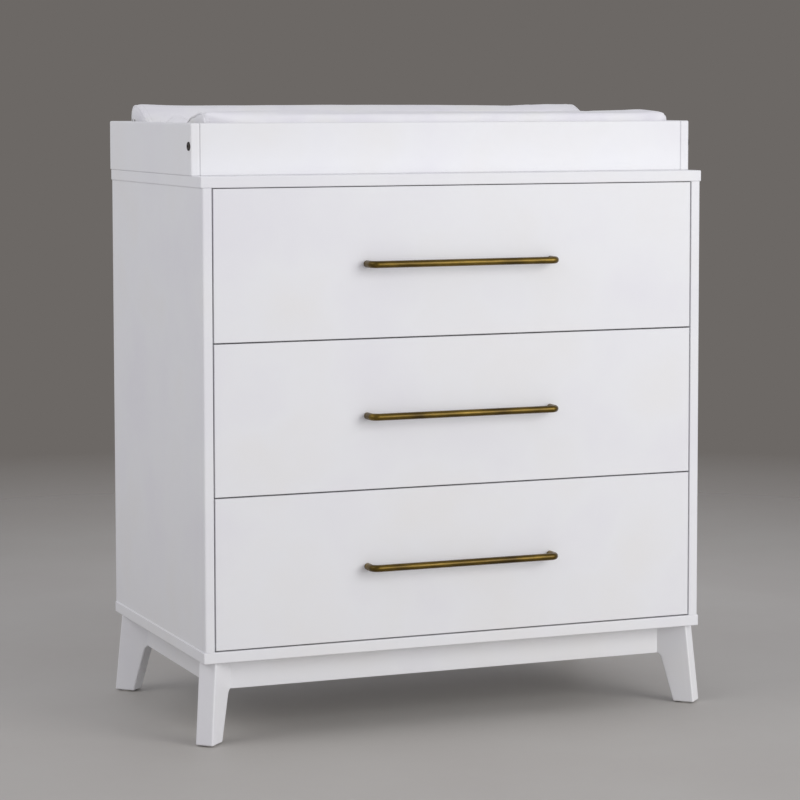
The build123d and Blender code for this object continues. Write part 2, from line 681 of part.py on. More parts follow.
def make_topper():
    """The four-walled frame that holds the pad, its joints, and the plates that tie it to the dresser."""
    inner = topper_inner_half
    half = inner + topper_wall
    y0 = back_y - topper_inner_depth - 2 * topper_wall
    z1 = top_z + topper_height
    for name, side in (("topper_left", -1), ("topper_right", 1)):
        x0, x1 = sorted((side * inner, side * half))
        wall = block(x0, x1, y0, back_y, top_z, z1)
        rounded = wall.edges().group_by(Axis.Z)[-1] + wall.edges().filter_by(Axis.Z).group_by(Axis.Y)[0]
        wall = fillet(rounded, topper_edge_radius)
        foot = wall.edges().filter_by(Axis.Y).group_by(Axis.Z)[0].sort_by(Axis.X)[0 if side < 0 else -1]
        nodes[name] = fillet(foot, topper_foot_radius)
    for name, y in (("topper_front", y0), ("topper_back", back_y - topper_wall)):
        wall = block(-inner, inner, y, y + topper_wall, top_z, z1)
        wall = fillet(wall.edges().group_by(Axis.Z)[-1].filter_by(Axis.X), topper_edge_radius)
        wall = fillet(wall.edges().filter_by(Axis.Z).group_by(Axis.Y)[0], topper_joint_radius)
        foot = wall.edges().filter_by(Axis.X).group_by(Axis.Z)[0].sort_by(Axis.Y)[0]
        nodes[name] = fillet(foot, topper_foot_radius)

    for name, side in (("topper_left", -1), ("topper_right", 1)):
        into = Vector(-side, 0, 0)
        y = y0 + topper_wall / 2
        seat = Vector(side * half, y, top_z + topper_bolt_height)
        bolt = rod(seat, into, topper_bolt_radius, topper_bolt_length)
        place = Plane(origin=seat, z_dir=into)
        head = place * round_head(topper_bolt_head_radius, topper_bolt_head_height)
        hexagon = RegularPolygon(topper_bolt_socket, 6)
        socket = place * extrude(hexagon, 2 * topper_bolt_head_height, both=True)
        bolt = bolt + head - socket
        group["topper_bolts"].append(bolt)
        hole = rod(seat, into, topper_bolt_radius + 2 * play, topper_bolt_length + bottom_play)
        cuts[name].append(hole)
        cuts["topper_front"].append(hole)
        centre = seat + into * (topper_wall + barrel_nut_setback)
        nut_start = centre + Vector(0, topper_wall / 2 - barrel_nut_length, 0)
        nut = rod(nut_start, (0, 1, 0), barrel_nut_radius, barrel_nut_length)
        thread = rod(centre - into * 2 * barrel_nut_radius, into, topper_bolt_radius + play,
                     4 * barrel_nut_radius)
        group["topper_barrel_nuts"].append(nut - thread)
        cuts["topper_front"].append(
            rod(nut_start - Vector(0, play, 0), (0, 1, 0), barrel_nut_radius + play, barrel_nut_length + topper_wall))
        dowel_joint((side * inner, y, top_z + topper_height * topper_front_dowel_share), into, name,
                    "topper_front")
        y = back_y - topper_wall / 2
        cam_joint((side * inner, y, top_z + topper_height / 2), into, (0, -1, 0), topper_wall, name,
                  "topper_back")
        for share in topper_back_dowel_shares:
            dowel_joint((side * inner, y, top_z + topper_height * share), into, name, "topper_back")

    plates = []
    for side in (-1, 1):
        x = side * join_plate_spacing / 2
        low = top_z - join_plate_drop
        plate = block(x - join_plate_width / 2, x + join_plate_width / 2, back_y, back_y + plate_sheet,
                      low, low + join_plate_height)
        upright = plate.edges().filter_by(Axis.Y)
        plates.append(fillet(upright, join_plate_corner_radius))
        for screw_x in (x - join_plate_width / 2 + join_plate_screw_inset,
                        x + join_plate_width / 2 - join_plate_screw_inset):
            for z, board in ((top_z - cap_thickness / 2, "top_panel"),
                             (low + join_plate_height - join_plate_screw_inset, "topper_back")):
                pan_screw("plate_screws", (screw_x, back_y + plate_sheet, z), (0, -1, 0), screw_length,
                          ["topper_plates", board])
    nodes["topper_plates"] = plates


def pad_profile():
    """Cross-section of the pad: two high ridges with a valley between them, from the front lower corner."""
    valley = (pad_width - pad_valley_width) / 2
    inner_front = pad_front_height - pad_ridge_fall
    inner_back = pad_back_height - pad_ridge_fall
    outline = Polygon(
        (0, 0), (pad_width, 0), (pad_width, pad_back_height),
        (pad_width - pad_ridge_width, inner_back), (pad_width - valley, pad_valley_height),
        (valley, pad_valley_height), (pad_ridge_width, inner_front), (0, pad_front_height), align=None)
    crest = outline.vertices().sort_by_distance((pad_width, pad_back_height, 0))[0]
    outline = fillet(crest, pad_back_radius)
    soft = [corner for x, y in ((0, pad_front_height), (pad_ridge_width, inner_front),
                                (valley, pad_valley_height), (pad_width - valley, pad_valley_height),
                                (pad_width - pad_ridge_width, inner_back))
            for corner in [outline.vertices().sort_by_distance((x, y, 0))[0]]]
    return fillet(soft, pad_soft_radius)


def make_pad():
    """The contoured pad, and the safety belt sewn in its valley with a side-release buckle."""
    y0 = back_y - topper_wall - pad_side_clearance - pad_width
    z0 = top_z + pad_rest_gap
    middle = pad_offset_side
    place = Plane(origin=(middle - pad_length / 2, y0, z0), x_dir=(0, 1, 0), z_dir=(1, 0, 0))
    nodes["changing_pad"] = place * extrude(pad_profile(), pad_length)

    z = z0 + pad_valley_height
    centre_y = y0 + pad_width / 2
    buckle_half = buckle_length / 2
    overlap = belt_half_length - (pad_valley_width / 2 - pad_soft_radius - buckle_half)
    for side in (-1, 1):
        near = centre_y + side * (buckle_half - overlap)
        far = near + side * belt_half_length
        group["safety_belt"].append(
            block(middle - belt_width / 2, middle + belt_width / 2, min(near, far), max(near, far),
                  z, z + belt_thickness))
    make_buckle(middle, centre_y, z + belt_thickness + play)


def make_buckle(middle, centre_y, under):
    """The belt's side-release buckle, closed: a hollow shell, and a plug whose tongue reaches into it."""
    half_width_outer = buckle_width / 2
    half_length = buckle_length / 2
    top = under + buckle_height
    parting = centre_y + buckle_shell_reach

    def body(inset, y0, y1, corner):
        half = half_width_outer - inset
        shape = block(middle - half, middle + half, y0, y1, under, top)
        shape = fillet(shape.edges().filter_by(Axis.Z), corner)
        return fillet(shape.faces().sort_by(Axis.Z)[-1].edges(), buckle_edge_radius)

    def core(side_play, top_play, reach):
        half = half_width_outer - tongue_inset + side_play
        return block(middle - half, middle + half, centre_y - reach, centre_y + reach,
                     under + tongue_wall - top_play, top - tongue_wall + top_play)

    shell = body(0, centre_y - half_length, parting, buckle_shell_corner)
    plug = body(buckle_plug_inset, parting + buckle_parting, centre_y + half_length, buckle_plug_corner)
    socket = core(tongue_side_play, tongue_top_play, tongue_reach + tongue_side_play)
    group["safety_buckle"].append(shell - socket)
    group["safety_buckle"].append(plug + core(0, 0, tongue_reach))


def write_parts():
    """Cut every board's holes and grooves, and write one file for each node."""
    os.makedirs("parts", exist_ok=True)
    for name, pieces in group.items():
        nodes[name] = pieces
    for name, pieces in nodes.items():
        if not isinstance(pieces, list):
            pieces = [pieces]
        if cuts[name]:
            pieces = [piece - cuts[name] for piece in pieces]
        solids = [solid for piece in pieces for solid in piece.solids()]
        shape = solids[0] if len(solids) == 1 else Compound(solids)
        export_step(shape, f"parts/{name}.step")
    print(len(nodes), "nodes")


make_cabinet()
make_strap_anchors()
make_base()
for drawer_index, drawer_name in enumerate(drawer_names):
    make_drawer(drawer_index, drawer_name)
make_topper()
make_pad()
write_parts()
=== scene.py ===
"""Changing table: a white three-drawer dresser with a changing topper, a contoured pad and brass pulls.

Everything is in metres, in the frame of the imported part. Sizes below are written in millimetres.
"""

import math

import bmesh
import bpy
from mathutils import Matrix, Vector, noise
from mathutils.bvhtree import BVHTree


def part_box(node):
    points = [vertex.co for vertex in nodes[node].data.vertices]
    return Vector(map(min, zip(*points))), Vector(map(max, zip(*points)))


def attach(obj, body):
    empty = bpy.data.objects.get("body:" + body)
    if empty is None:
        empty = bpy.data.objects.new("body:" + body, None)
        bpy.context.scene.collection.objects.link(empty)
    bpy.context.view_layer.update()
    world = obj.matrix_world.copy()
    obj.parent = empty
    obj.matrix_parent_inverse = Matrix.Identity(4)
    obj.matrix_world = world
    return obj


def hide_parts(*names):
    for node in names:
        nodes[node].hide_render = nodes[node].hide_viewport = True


MM = 0.001

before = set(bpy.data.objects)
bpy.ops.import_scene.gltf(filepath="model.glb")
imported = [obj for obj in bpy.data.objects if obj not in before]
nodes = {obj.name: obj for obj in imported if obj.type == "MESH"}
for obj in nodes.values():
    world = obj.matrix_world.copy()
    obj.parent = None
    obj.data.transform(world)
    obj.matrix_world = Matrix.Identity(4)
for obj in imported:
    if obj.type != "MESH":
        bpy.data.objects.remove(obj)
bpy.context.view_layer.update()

DRAWERS = ("bottom", "middle", "top")

# ---- objects and node trees ----------------------------------------------------------------------


def placed(name, data):
    """A new object in the scene, at the origin."""
    made = bpy.data.objects.new(name, data)
    bpy.context.scene.collection.objects.link(made)
    return made


def mesh_of(bm, name):
    """The bmesh's shape as a mesh of its own."""
    mesh = bpy.data.meshes.new(name)
    bm.to_mesh(mesh)
    bm.free()
    return mesh


def add(tree, kind, inputs=None, stops=(), **settings):
    """Adds one node: its settings, then its inputs, each a value, a socket, or a node whose first output is
    linked. A colour ramp also takes its stops, each a position and a hex colour."""
    node = tree.nodes.new(kind)
    for name, value in settings.items():
        setattr(node, name, value)
    for name, value in (inputs or {}).items():
        if isinstance(value, bpy.types.Node):
            value = value.outputs[0]
        if isinstance(value, bpy.types.NodeSocket):
            tree.links.new(value, node.inputs[name])
        else:
            node.inputs[name].default_value = value
    for number, (position, colour) in enumerate(stops):
        if number >= len(node.color_ramp.elements):
            node.color_ramp.elements.new(0.5)
        node.color_ramp.elements[number].position = position
        node.color_ramp.elements[number].color = linear(colour)
    return node


def linear(hex_colour):
    """An sRGB hex colour as the linear colour that the shaders take."""
    channels = [int(hex_colour[i:i + 2], 16) / 255 for i in (1, 3, 5)]
    return tuple(c / 12.92 if c <= 0.04045 else ((c + 0.055) / 1.055) ** 2.4 for c in channels) + (1.0,)


def per_metre(size_mm):
    """Texture scale for a pattern whose features are size_mm apart."""
    return 1000 / size_mm


def new_finish(name, **constants):
    """A material with one Principled shader, whose constant values sit on its own sockets, and the object's
    own coordinates to hang patterns on."""
    material = bpy.data.materials.new(name)
    material.use_nodes = True
    tree = material.node_tree
    tree.nodes.clear()
    shader = add(tree, "ShaderNodeBsdfPrincipled", {k.replace("_", " "): v for k, v in constants.items()})
    add(tree, "ShaderNodeOutputMaterial", {"Surface": shader})
    return material, tree, shader, add(tree, "ShaderNodeTexCoord").outputs["Object"]


def feed(tree, shader, **links):
    """Links the first outputs of nodes to the shader's inputs, by name."""
    for name, node in links.items():
        tree.links.new(node.outputs[0], shader.inputs[name.replace("_", " ")])


# ---- finishes ------------------------------------------------------------------------------------


def white_lacquer():
    """MDF sprayed with white polyurethane lacquer, satin. The spray leaves an orange peel, so highlights
    break up softly, and its thickness varies enough to shift the sheen and the white by a hair. Real peel is
    1 to 2 mm across; it's drawn at 3.5 mm to show."""
    material, tree, shader, place = new_finish("mdf_sprayed_white_lacquer", IOR=1.5, Coat_Weight=0.12,
                                               Coat_Roughness=0.22)
    cloud = add(tree, "ShaderNodeTexNoise", {"Vector": place, "Scale": per_metre(180), "Detail": 3.0})
    mist = add(tree, "ShaderNodeTexNoise", {"Vector": place, "Scale": per_metre(9), "Detail": 3.0})
    peel = add(tree, "ShaderNodeTexNoise", {"Vector": place, "Scale": per_metre(3.5), "Detail": 1.0})
    white = add(tree, "ShaderNodeValToRGB", {"Fac": cloud},
                ((0.3, "#EDECF0"), (0.5, "#F0F0F2"), (0.7, "#EFEEEE")))
    gloss = add(tree, "ShaderNodeMapRange", {"Value": mist, "From Min": 0.3, "From Max": 0.7, "To Min": 0.36,
                                             "To Max": 0.46})
    sag = add(tree, "ShaderNodeBump", {"Height": cloud, "Distance": 0.8 * MM, "Strength": 0.15})
    skin = add(tree, "ShaderNodeBump", {"Height": peel, "Distance": 0.05 * MM, "Strength": 0.35,
                                        "Normal": sag})
    feed(tree, shader, Base_Color=white, Roughness=gloss, Normal=skin)
    return material


def white_melamine():
    """Particle board faced with white melamine paper, pressed against a pearl-textured plate: a fine even
    pebble, 0.8 mm in life and 2 mm here to show, and a harder shine than the lacquer."""
    material, tree, shader, place = new_finish("particle_board_white_melamine", IOR=1.52)
    pearl = add(tree, "ShaderNodeTexVoronoi", {"Vector": place, "Scale": per_metre(2.0)}, feature="SMOOTH_F1")
    cloud = add(tree, "ShaderNodeTexNoise", {"Vector": place, "Scale": per_metre(60), "Detail": 3.0})
    white = add(tree, "ShaderNodeValToRGB", {"Fac": cloud}, ((0.3, "#E9E8E4"), (0.7, "#EEEDEA")))
    gloss = add(tree, "ShaderNodeMapRange", {"Value": pearl, "To Min": 0.3, "To Max": 0.42})
    pebble = add(tree, "ShaderNodeBump", {"Height": pearl, "Distance": 0.06 * MM, "Strength": 0.5})
    feed(tree, shader, Base_Color=white, Roughness=gloss, Normal=pebble)
    return material


def painted_hardboard():
    """Hardboard, wet-felted wood fibre pressed hard, with one coat of white paint. Fibres 3 to 8 mm long
    show through as a faint mesh of strands."""
    material, tree, shader, place = new_finish("hardboard_white_painted", IOR=1.48)
    warp = add(tree, "ShaderNodeTexNoise", {"Vector": place, "Scale": per_metre(30), "Detail": 2.0})
    bent = add(tree, "ShaderNodeMix", {0: 0.012, 4: place, 5: warp.outputs["Color"]}, data_type="VECTOR")
    strands = add(tree, "ShaderNodeTexVoronoi", {"Vector": bent.outputs[1], "Scale": per_metre(6)},
                  feature="DISTANCE_TO_EDGE")
    strand = add(tree, "ShaderNodeMapRange", {"Value": strands, "From Max": 0.12})
    white = add(tree, "ShaderNodeValToRGB", {"Fac": strand}, ((0.0, "#DAD8D2"), (1.0, "#E6E5E1")))
    mist = add(tree, "ShaderNodeTexNoise", {"Vector": place, "Scale": per_metre(12)})
    gloss = add(tree, "ShaderNodeMapRange", {"Value": mist, "To Min": 0.5, "To Max": 0.66})
    mesh = add(tree, "ShaderNodeBump", {"Height": strand, "Distance": 0.08 * MM, "Strength": 0.4})
    feed(tree, shader, Base_Color=white, Roughness=gloss, Normal=mesh)
    return material


def brushed_brass():
    """Zinc tube plated with antique brass, brushed along its length and clear-lacquered. The brush leaves
    fine lines that streak the reflection, and the antiquing leaves olive and umber clouds in the gold. Real
    lines are 0.05 mm; here 0.7 mm to show."""
    material, tree, shader, place = new_finish("brass_antique_brushed_plate", Metallic=1.0, Coat_Weight=0.25,
                                               Coat_Roughness=0.12)
    along = add(tree, "ShaderNodeMapping", {"Vector": place, "Scale": (0.02, 1, 1)})
    drawn = add(tree, "ShaderNodeMapping", {"Vector": place, "Scale": (0.35, 1, 1)})
    lines = add(tree, "ShaderNodeTexNoise", {"Vector": along, "Scale": per_metre(0.7), "Detail": 3.0})
    cloud = add(tree, "ShaderNodeTexNoise", {"Vector": drawn, "Scale": per_metre(16), "Detail": 4.0})
    tone = add(tree, "ShaderNodeMix", {0: 0.35, 2: cloud, 3: lines}, data_type="FLOAT")
    gold = add(tree, "ShaderNodeValToRGB", {"Fac": tone},
               ((0.34, "#433410"), (0.5, "#624E18"), (0.66, "#826A2A")))
    gloss = add(tree, "ShaderNodeMapRange", {"Value": lines, "From Min": 0.3, "From Max": 0.7, "To Min": 0.32,
                                             "To Max": 0.46})
    grain = add(tree, "ShaderNodeBump", {"Height": lines, "Distance": 0.03 * MM, "Strength": 0.5})
    feed(tree, shader, Base_Color=gold, Roughness=gloss, Normal=grain)
    return material


def zinc_plate():
    """Steel, bright zinc-plated and blue-passivated. A cool grey shine with faint straw and blue clouds and
    the fine lines that rolling or heading leaves."""
    material, tree, shader, place = new_finish("steel_bright_zinc_plate", Metallic=1.0)
    rolled = add(tree, "ShaderNodeMapping", {"Vector": place, "Scale": (1, 0.05, 1)})
    cloud = add(tree, "ShaderNodeTexNoise", {"Vector": place, "Scale": per_metre(14), "Detail": 3.0})
    lines = add(tree, "ShaderNodeTexNoise", {"Vector": rolled, "Scale": per_metre(1.2), "Detail": 2.0})
    grey = add(tree, "ShaderNodeValToRGB", {"Fac": cloud},
               ((0.3, "#B9BDC4"), (0.5, "#C9CBCC"), (0.7, "#CFCBBE")))
    gloss = add(tree, "ShaderNodeMapRange", {"Value": lines, "From Min": 0.3, "From Max": 0.7, "To Min": 0.24,
                                             "To Max": 0.42})
    grain = add(tree, "ShaderNodeBump", {"Height": lines, "Distance": 0.03 * MM, "Strength": 0.4})
    feed(tree, shader, Base_Color=grey, Roughness=gloss, Normal=grain)
    return material


def cast_zinc():
    """Zinc alloy, die cast and tumbled: dull grey with a soft pebbled skin."""
    material, tree, shader, place = new_finish("zinc_alloy_die_cast", Metallic=1.0)
    grain = add(tree, "ShaderNodeTexNoise", {"Vector": place, "Scale": per_metre(1.2), "Detail": 3.0})
    grey = add(tree, "ShaderNodeValToRGB", {"Fac": grain}, ((0.3, "#8F9296"), (0.7, "#A9ABAE")))
    gloss = add(tree, "ShaderNodeMapRange", {"Value": grain, "From Min": 0.3, "From Max": 0.7, "To Min": 0.42,
                                             "To Max": 0.58})
    skin = add(tree, "ShaderNodeBump", {"Height": grain, "Distance": 0.05 * MM, "Strength": 0.5})
    feed(tree, shader, Base_Color=grey, Roughness=gloss, Normal=skin)
    return material


def black_oxide():
    """Steel with a black-bronze oxide, oiled: near black, a low warm shine, rubbed lighter in patches."""
    material, tree, shader, place = new_finish("steel_black_oxide", Metallic=1.0)
    rub = add(tree, "ShaderNodeTexNoise", {"Vector": place, "Scale": per_metre(5), "Detail": 4.0})
    dark = add(tree, "ShaderNodeValToRGB", {"Fac": rub}, ((0.35, "#2B2724"), (0.65, "#4A423B")))
    gloss = add(tree, "ShaderNodeMapRange", {"Value": rub, "From Min": 0.3, "From Max": 0.7, "To Min": 0.34,
                                             "To Max": 0.5})
    skin = add(tree, "ShaderNodeBump", {"Height": rub, "Distance": 0.03 * MM, "Strength": 0.3})
    feed(tree, shader, Base_Color=dark, Roughness=gloss, Normal=skin)
    return material


def turned_beech():
    """Beech, fluted dowel: pale tan with flecks 2 mm long and a fine straight grain."""
    material, tree, shader, place = new_finish("beech_fluted_dowel", IOR=1.5)
    straight = add(tree, "ShaderNodeMapping", {"Vector": place, "Scale": (0.12, 1, 1)})
    flecked = add(tree, "ShaderNodeMapping", {"Vector": place, "Scale": (0.5, 1, 1)})
    grain = add(tree, "ShaderNodeTexNoise", {"Vector": straight, "Scale": per_metre(0.8), "Detail": 3.0})
    fleck = add(tree, "ShaderNodeTexNoise", {"Vector": flecked, "Scale": per_metre(2.0), "Detail": 2.0})
    both = add(tree, "ShaderNodeMath", {0: grain, 1: fleck}, operation="MULTIPLY")
    tan = add(tree, "ShaderNodeValToRGB", {"Fac": both},
              ((0.12, "#B88A5C"), (0.3, "#D2A878"), (0.5, "#DDB98D")))
    gloss = add(tree, "ShaderNodeMapRange", {"Value": grain, "To Min": 0.5, "To Max": 0.7})
    pores = add(tree, "ShaderNodeBump", {"Height": grain, "Distance": 0.08 * MM, "Strength": 0.5})
    feed(tree, shader, Base_Color=tan, Roughness=gloss, Normal=pores)
    return material


def moulded_nylon():
    """Nylon 6, injection moulded in a spark-eroded tool: milky white with an even fine matt grain."""
    material, tree, shader, place = new_finish("nylon_injection_moulded", IOR=1.53, Subsurface_Weight=0.05,
                                               Subsurface_Scale=0.002)
    spark = add(tree, "ShaderNodeTexNoise", {"Vector": place, "Scale": per_metre(0.9), "Detail": 2.0})
    cloud = add(tree, "ShaderNodeTexNoise", {"Vector": place, "Scale": per_metre(8)})
    white = add(tree, "ShaderNodeValToRGB", {"Fac": cloud}, ((0.3, "#DEDDD6"), (0.7, "#E6E5DF")))
    gloss = add(tree, "ShaderNodeMapRange", {"Value": spark, "From Min": 0.3, "From Max": 0.7, "To Min": 0.42,
                                             "To Max": 0.55})
    skin = add(tree, "ShaderNodeBump", {"Height": spark, "Distance": 0.04 * MM, "Strength": 0.5})
    feed(tree, shader, Base_Color=white, Roughness=gloss, Normal=skin)
    return material


def coated_cover():
    """Polyester knit coated with white PVC, wipe-clean. The knit's rows press through the coating as a fine
    rib, 1 mm in life and 2.4 mm here to show, over the soft creases of a stuffed cover."""
    material, tree, shader, place = new_finish("pvc_coated_knit_cover", IOR=1.5, Sheen_Weight=0.12,
                                               Sheen_Roughness=0.4)
    rib_shape = {"Vector": place, "Scale": per_metre(2.4) / 20, "Distortion": 0.6, "Detail": 1.0}
    rows = add(tree, "ShaderNodeTexWave", rib_shape, bands_direction="X")
    wales = add(tree, "ShaderNodeTexWave", rib_shape, bands_direction="Y")
    knit = add(tree, "ShaderNodeMath", {0: rows.outputs["Fac"], 1: wales.outputs["Fac"]},
               operation="MULTIPLY")
    drawn = add(tree, "ShaderNodeMapping", {"Vector": place, "Scale": (0.4, 1, 1)})
    crease = add(tree, "ShaderNodeTexNoise", {"Vector": drawn, "Scale": per_metre(26), "Detail": 4.0})
    cloud = add(tree, "ShaderNodeTexNoise", {"Vector": place, "Scale": per_metre(70), "Detail": 3.0})
    tint = add(tree, "ShaderNodeValToRGB", {"Fac": cloud},
               ((0.3, "#ECEAF0"), (0.5, "#F1F0F3"), (0.7, "#F0EFEE")))
    gloss = add(tree, "ShaderNodeMapRange", {"Value": crease, "From Min": 0.3, "From Max": 0.7,
                                             "To Min": 0.38, "To Max": 0.5})
    slack = add(tree, "ShaderNodeBump", {"Height": crease, "Distance": 0.9 * MM, "Strength": 0.25})
    rib = add(tree, "ShaderNodeBump", {"Height": knit, "Distance": 0.08 * MM, "Strength": 0.3,
                                       "Normal": slack})
    feed(tree, shader, Base_Color=tint, Roughness=gloss, Normal=rib)
    return material


def woven_webbing():
    """Polypropylene webbing, woven in a plain rib: yarns 1.2 mm wide run over and under across the strap."""
    material, tree, shader, place = new_finish("polypropylene_webbing", IOR=1.49, Sheen_Weight=0.2,
                                               Sheen_Roughness=0.35)
    across = add(tree, "ShaderNodeUVMap", uv_map="strap")
    # The mortar's darker grey between the yarns is painted shade in the weave's grooves.
    weave = add(tree, "ShaderNodeTexBrick", {
        "Vector": across, "Scale": 1.0, "Mortar Size": 0.18, "Mortar Smooth": 1.0, "Brick Width": 2.4,
        "Row Height": 1.2, "Bias": 0.0, "Color1": linear("#F3F2F1"), "Color2": linear("#ECEBEA"),
        "Mortar": linear("#CDCBC9")})
    yarn = add(tree, "ShaderNodeMapRange", {"Value": weave.outputs["Fac"], "To Min": 1.0, "To Max": 0.0})
    fuzz = add(tree, "ShaderNodeTexNoise", {"Vector": place, "Scale": per_metre(0.8), "Detail": 2.0})
    gloss = add(tree, "ShaderNodeMapRange", {"Value": fuzz, "To Min": 0.55, "To Max": 0.75})
    ribs = add(tree, "ShaderNodeBump", {"Height": yarn, "Distance": 0.25 * MM, "Strength": 0.7})
    feed(tree, shader, Base_Color=weave, Roughness=gloss, Normal=ribs)
    return material


def moulded_acetal():
    """Acetal, injection moulded: white, slick and a little waxy, with a fine matt grain on the broad
    faces."""
    material, tree, shader, place = new_finish("acetal_injection_moulded", IOR=1.48, Coat_Weight=0.1,
                                               Coat_Roughness=0.3)
    grain = add(tree, "ShaderNodeTexNoise", {"Vector": place, "Scale": per_metre(1.0), "Detail": 2.0})
    cloud = add(tree, "ShaderNodeTexNoise", {"Vector": place, "Scale": per_metre(20)})
    white = add(tree, "ShaderNodeValToRGB", {"Fac": cloud}, ((0.3, "#E4E3E2"), (0.7, "#EAE9E8")))
    gloss = add(tree, "ShaderNodeMapRange", {"Value": grain, "From Min": 0.3, "From Max": 0.7, "To Min": 0.32,
                                             "To Max": 0.44})
    skin = add(tree, "ShaderNodeBump", {"Height": grain, "Distance": 0.03 * MM, "Strength": 0.5})
    feed(tree, shader, Base_Color=white, Roughness=gloss, Normal=skin)
    return material


def sewing_thread():
    """Polyester thread, three-ply, twisted: plies wind round at 0.9 mm and catch the light in dashes."""
    material, tree, shader, place = new_finish("polyester_thread_twisted", IOR=1.55, Sheen_Weight=0.3,
                                               Sheen_Roughness=0.4)
    wound = add(tree, "ShaderNodeMapping", {"Vector": place, "Scale": (1, 1, 0.6)})
    ply = add(tree, "ShaderNodeTexNoise", {"Vector": wound, "Scale": per_metre(0.9), "Detail": 1.0})
    white = add(tree, "ShaderNodeValToRGB", {"Fac": ply}, ((0.3, "#D6D4D6"), (0.7, "#F0EEF0")))
    gloss = add(tree, "ShaderNodeMapRange", {"Value": ply, "To Min": 0.5, "To Max": 0.65})
    twist = add(tree, "ShaderNodeBump", {"Height": ply, "Distance": 0.1 * MM, "Strength": 0.6})
    feed(tree, shader, Base_Color=white, Roughness=gloss, Normal=twist)
    return material


def dark_foam():
    """Painted shade: a soot-grey finish for the flat disc that stands in for the shade inside a vent hole,
    with open-cell foam's pits in its bump.
    """
    material, tree, shader, place = new_finish("foam_open_cell_shadow", IOR=1.45)
    cells = add(tree, "ShaderNodeTexNoise", {"Vector": place, "Scale": per_metre(0.6), "Detail": 2.0})
    # Painted shade: these near-black greys stand in for the shade inside the vent hole.
    shade_grey = add(tree, "ShaderNodeValToRGB", {"Fac": cells}, ((0.3, "#1E1B1A"), (0.7, "#3A3533")))
    gloss = add(tree, "ShaderNodeMapRange", {"Value": cells, "To Min": 0.8, "To Max": 0.95})
    pits = add(tree, "ShaderNodeBump", {"Height": cells, "Distance": 0.2 * MM, "Strength": 0.6})
    feed(tree, shader, Base_Color=shade_grey, Roughness=gloss, Normal=pits)
    return material


FINISHES = {
    "white_paint": white_lacquer(), "drawer_board": white_melamine(), "hardboard": painted_hardboard(),
    "brass": brushed_brass(), "zinc_steel": zinc_plate(), "cast_zinc": cast_zinc(),
    "dark_steel": black_oxide(), "beech": turned_beech(), "white_nylon": moulded_nylon(),
    "pad_cover": coated_cover(), "webbing": woven_webbing(), "buckle_plastic": moulded_acetal(),
    "thread": sewing_thread(), "shadow": dark_foam(),
}

for board in nodes.values():
    for slot in board.material_slots:
        slot.material = FINISHES[slot.material.name.split(".")[0]]

# ---- camera, floor and light ---------------------------------------------------------------------

SENSOR, LENS = 36, 125.99
SHIFT = -0.10
CAMERA_PLACE = (-1.7608, -4.3596, 1.0184)
CAMERA_TURN = (21.885, -4.571, 0.096)        # yaw, pitch and roll in degrees
FLOOR_RADIUS = 3.4
FLOOR_FADE_START = 1.2

camera_data = bpy.data.cameras.new("camera")
camera = placed("camera", camera_data)
bpy.context.scene.camera = camera
camera_data.sensor_width = SENSOR
camera_data.lens = LENS
camera_data.shift_y = SHIFT
yaw, pitch, roll = (math.radians(a) for a in CAMERA_TURN)
camera.rotation_euler = (Matrix.Rotation(-yaw, 3, "Z") @ Matrix.Rotation(math.pi / 2 + pitch, 3, "X")
                         @ Matrix.Rotation(-roll, 3, "Z")).to_euler()
camera.location = CAMERA_PLACE
bpy.context.scene.view_settings.view_transform = "Standard"


def studio_floor():
    """A round pale floor that fades into the backdrop at its edge."""
    bm = bmesh.new()
    bmesh.ops.create_circle(bm, cap_ends=True, radius=FLOOR_RADIUS, segments=96)
    floor = placed("floor", mesh_of(bm, "floor"))
    material, tree, shader, place = new_finish("floor_pale_matt", IOR=1.45)
    cloud = add(tree, "ShaderNodeTexNoise", {"Vector": place, "Scale": per_metre(400), "Detail": 3.0})
    scuff = add(tree, "ShaderNodeTexNoise", {"Vector": place, "Scale": per_metre(30)})
    tone = add(tree, "ShaderNodeValToRGB", {"Fac": cloud}, ((0.3, "#B7B3AE"), (0.7, "#BBB8B3")))
    gloss = add(tree, "ShaderNodeMapRange", {"Value": scuff, "To Min": 0.55, "To Max": 0.62})
    feed(tree, shader, Base_Color=tone, Roughness=gloss)
    far = add(tree, "ShaderNodeVectorMath", {0: place}, operation="LENGTH").outputs["Value"]
    fade = add(tree, "ShaderNodeMapRange",
               {"Value": far, "From Min": FLOOR_FADE_START, "From Max": FLOOR_RADIUS})
    clear = add(tree, "ShaderNodeBsdfTransparent")
    mixed = add(tree, "ShaderNodeMixShader", {0: fade, 1: shader, 2: clear})
    tree.links.new(mixed.outputs[0], next(n for n in tree.nodes if n.type == "OUTPUT_MATERIAL").inputs[0])
    floor.data.materials.append(material)


def soft_light(name, place, aim, size, power):
    """A square soft box at a place, turned to face its aim; the camera doesn't see it."""
    data = bpy.data.lights.new(name, "AREA")
    data.shape = "SQUARE"
    data.size = size
    data.energy = power
    lamp = placed(name, data)
    lamp.location = place
    lamp.rotation_euler = (Vector(aim) - Vector(place)).to_track_quat("-Z", "Y").to_euler()
    lamp.visible_camera = False


def studio_world():
    """An even grey backdrop; its light on the object is brighter than it looks, as from white walls."""
    world = bpy.data.worlds.new("studio")
    bpy.context.scene.world = world
    world.use_nodes = True
    tree = world.node_tree
    tree.nodes.clear()
    seen = add(tree, "ShaderNodeBackground", {"Color": linear("#6C6865"), "Strength": 1.0})
    cast = add(tree, "ShaderNodeBackground", {"Color": linear("#F2F2F8"), "Strength": 0.56})
    path = add(tree, "ShaderNodeLightPath")
    both = add(tree, "ShaderNodeMixShader", {0: path.outputs["Is Camera Ray"], 1: cast.outputs[0],
                                             2: seen.outputs[0]})
    add(tree, "ShaderNodeOutputWorld", {"Surface": both.outputs[0]})


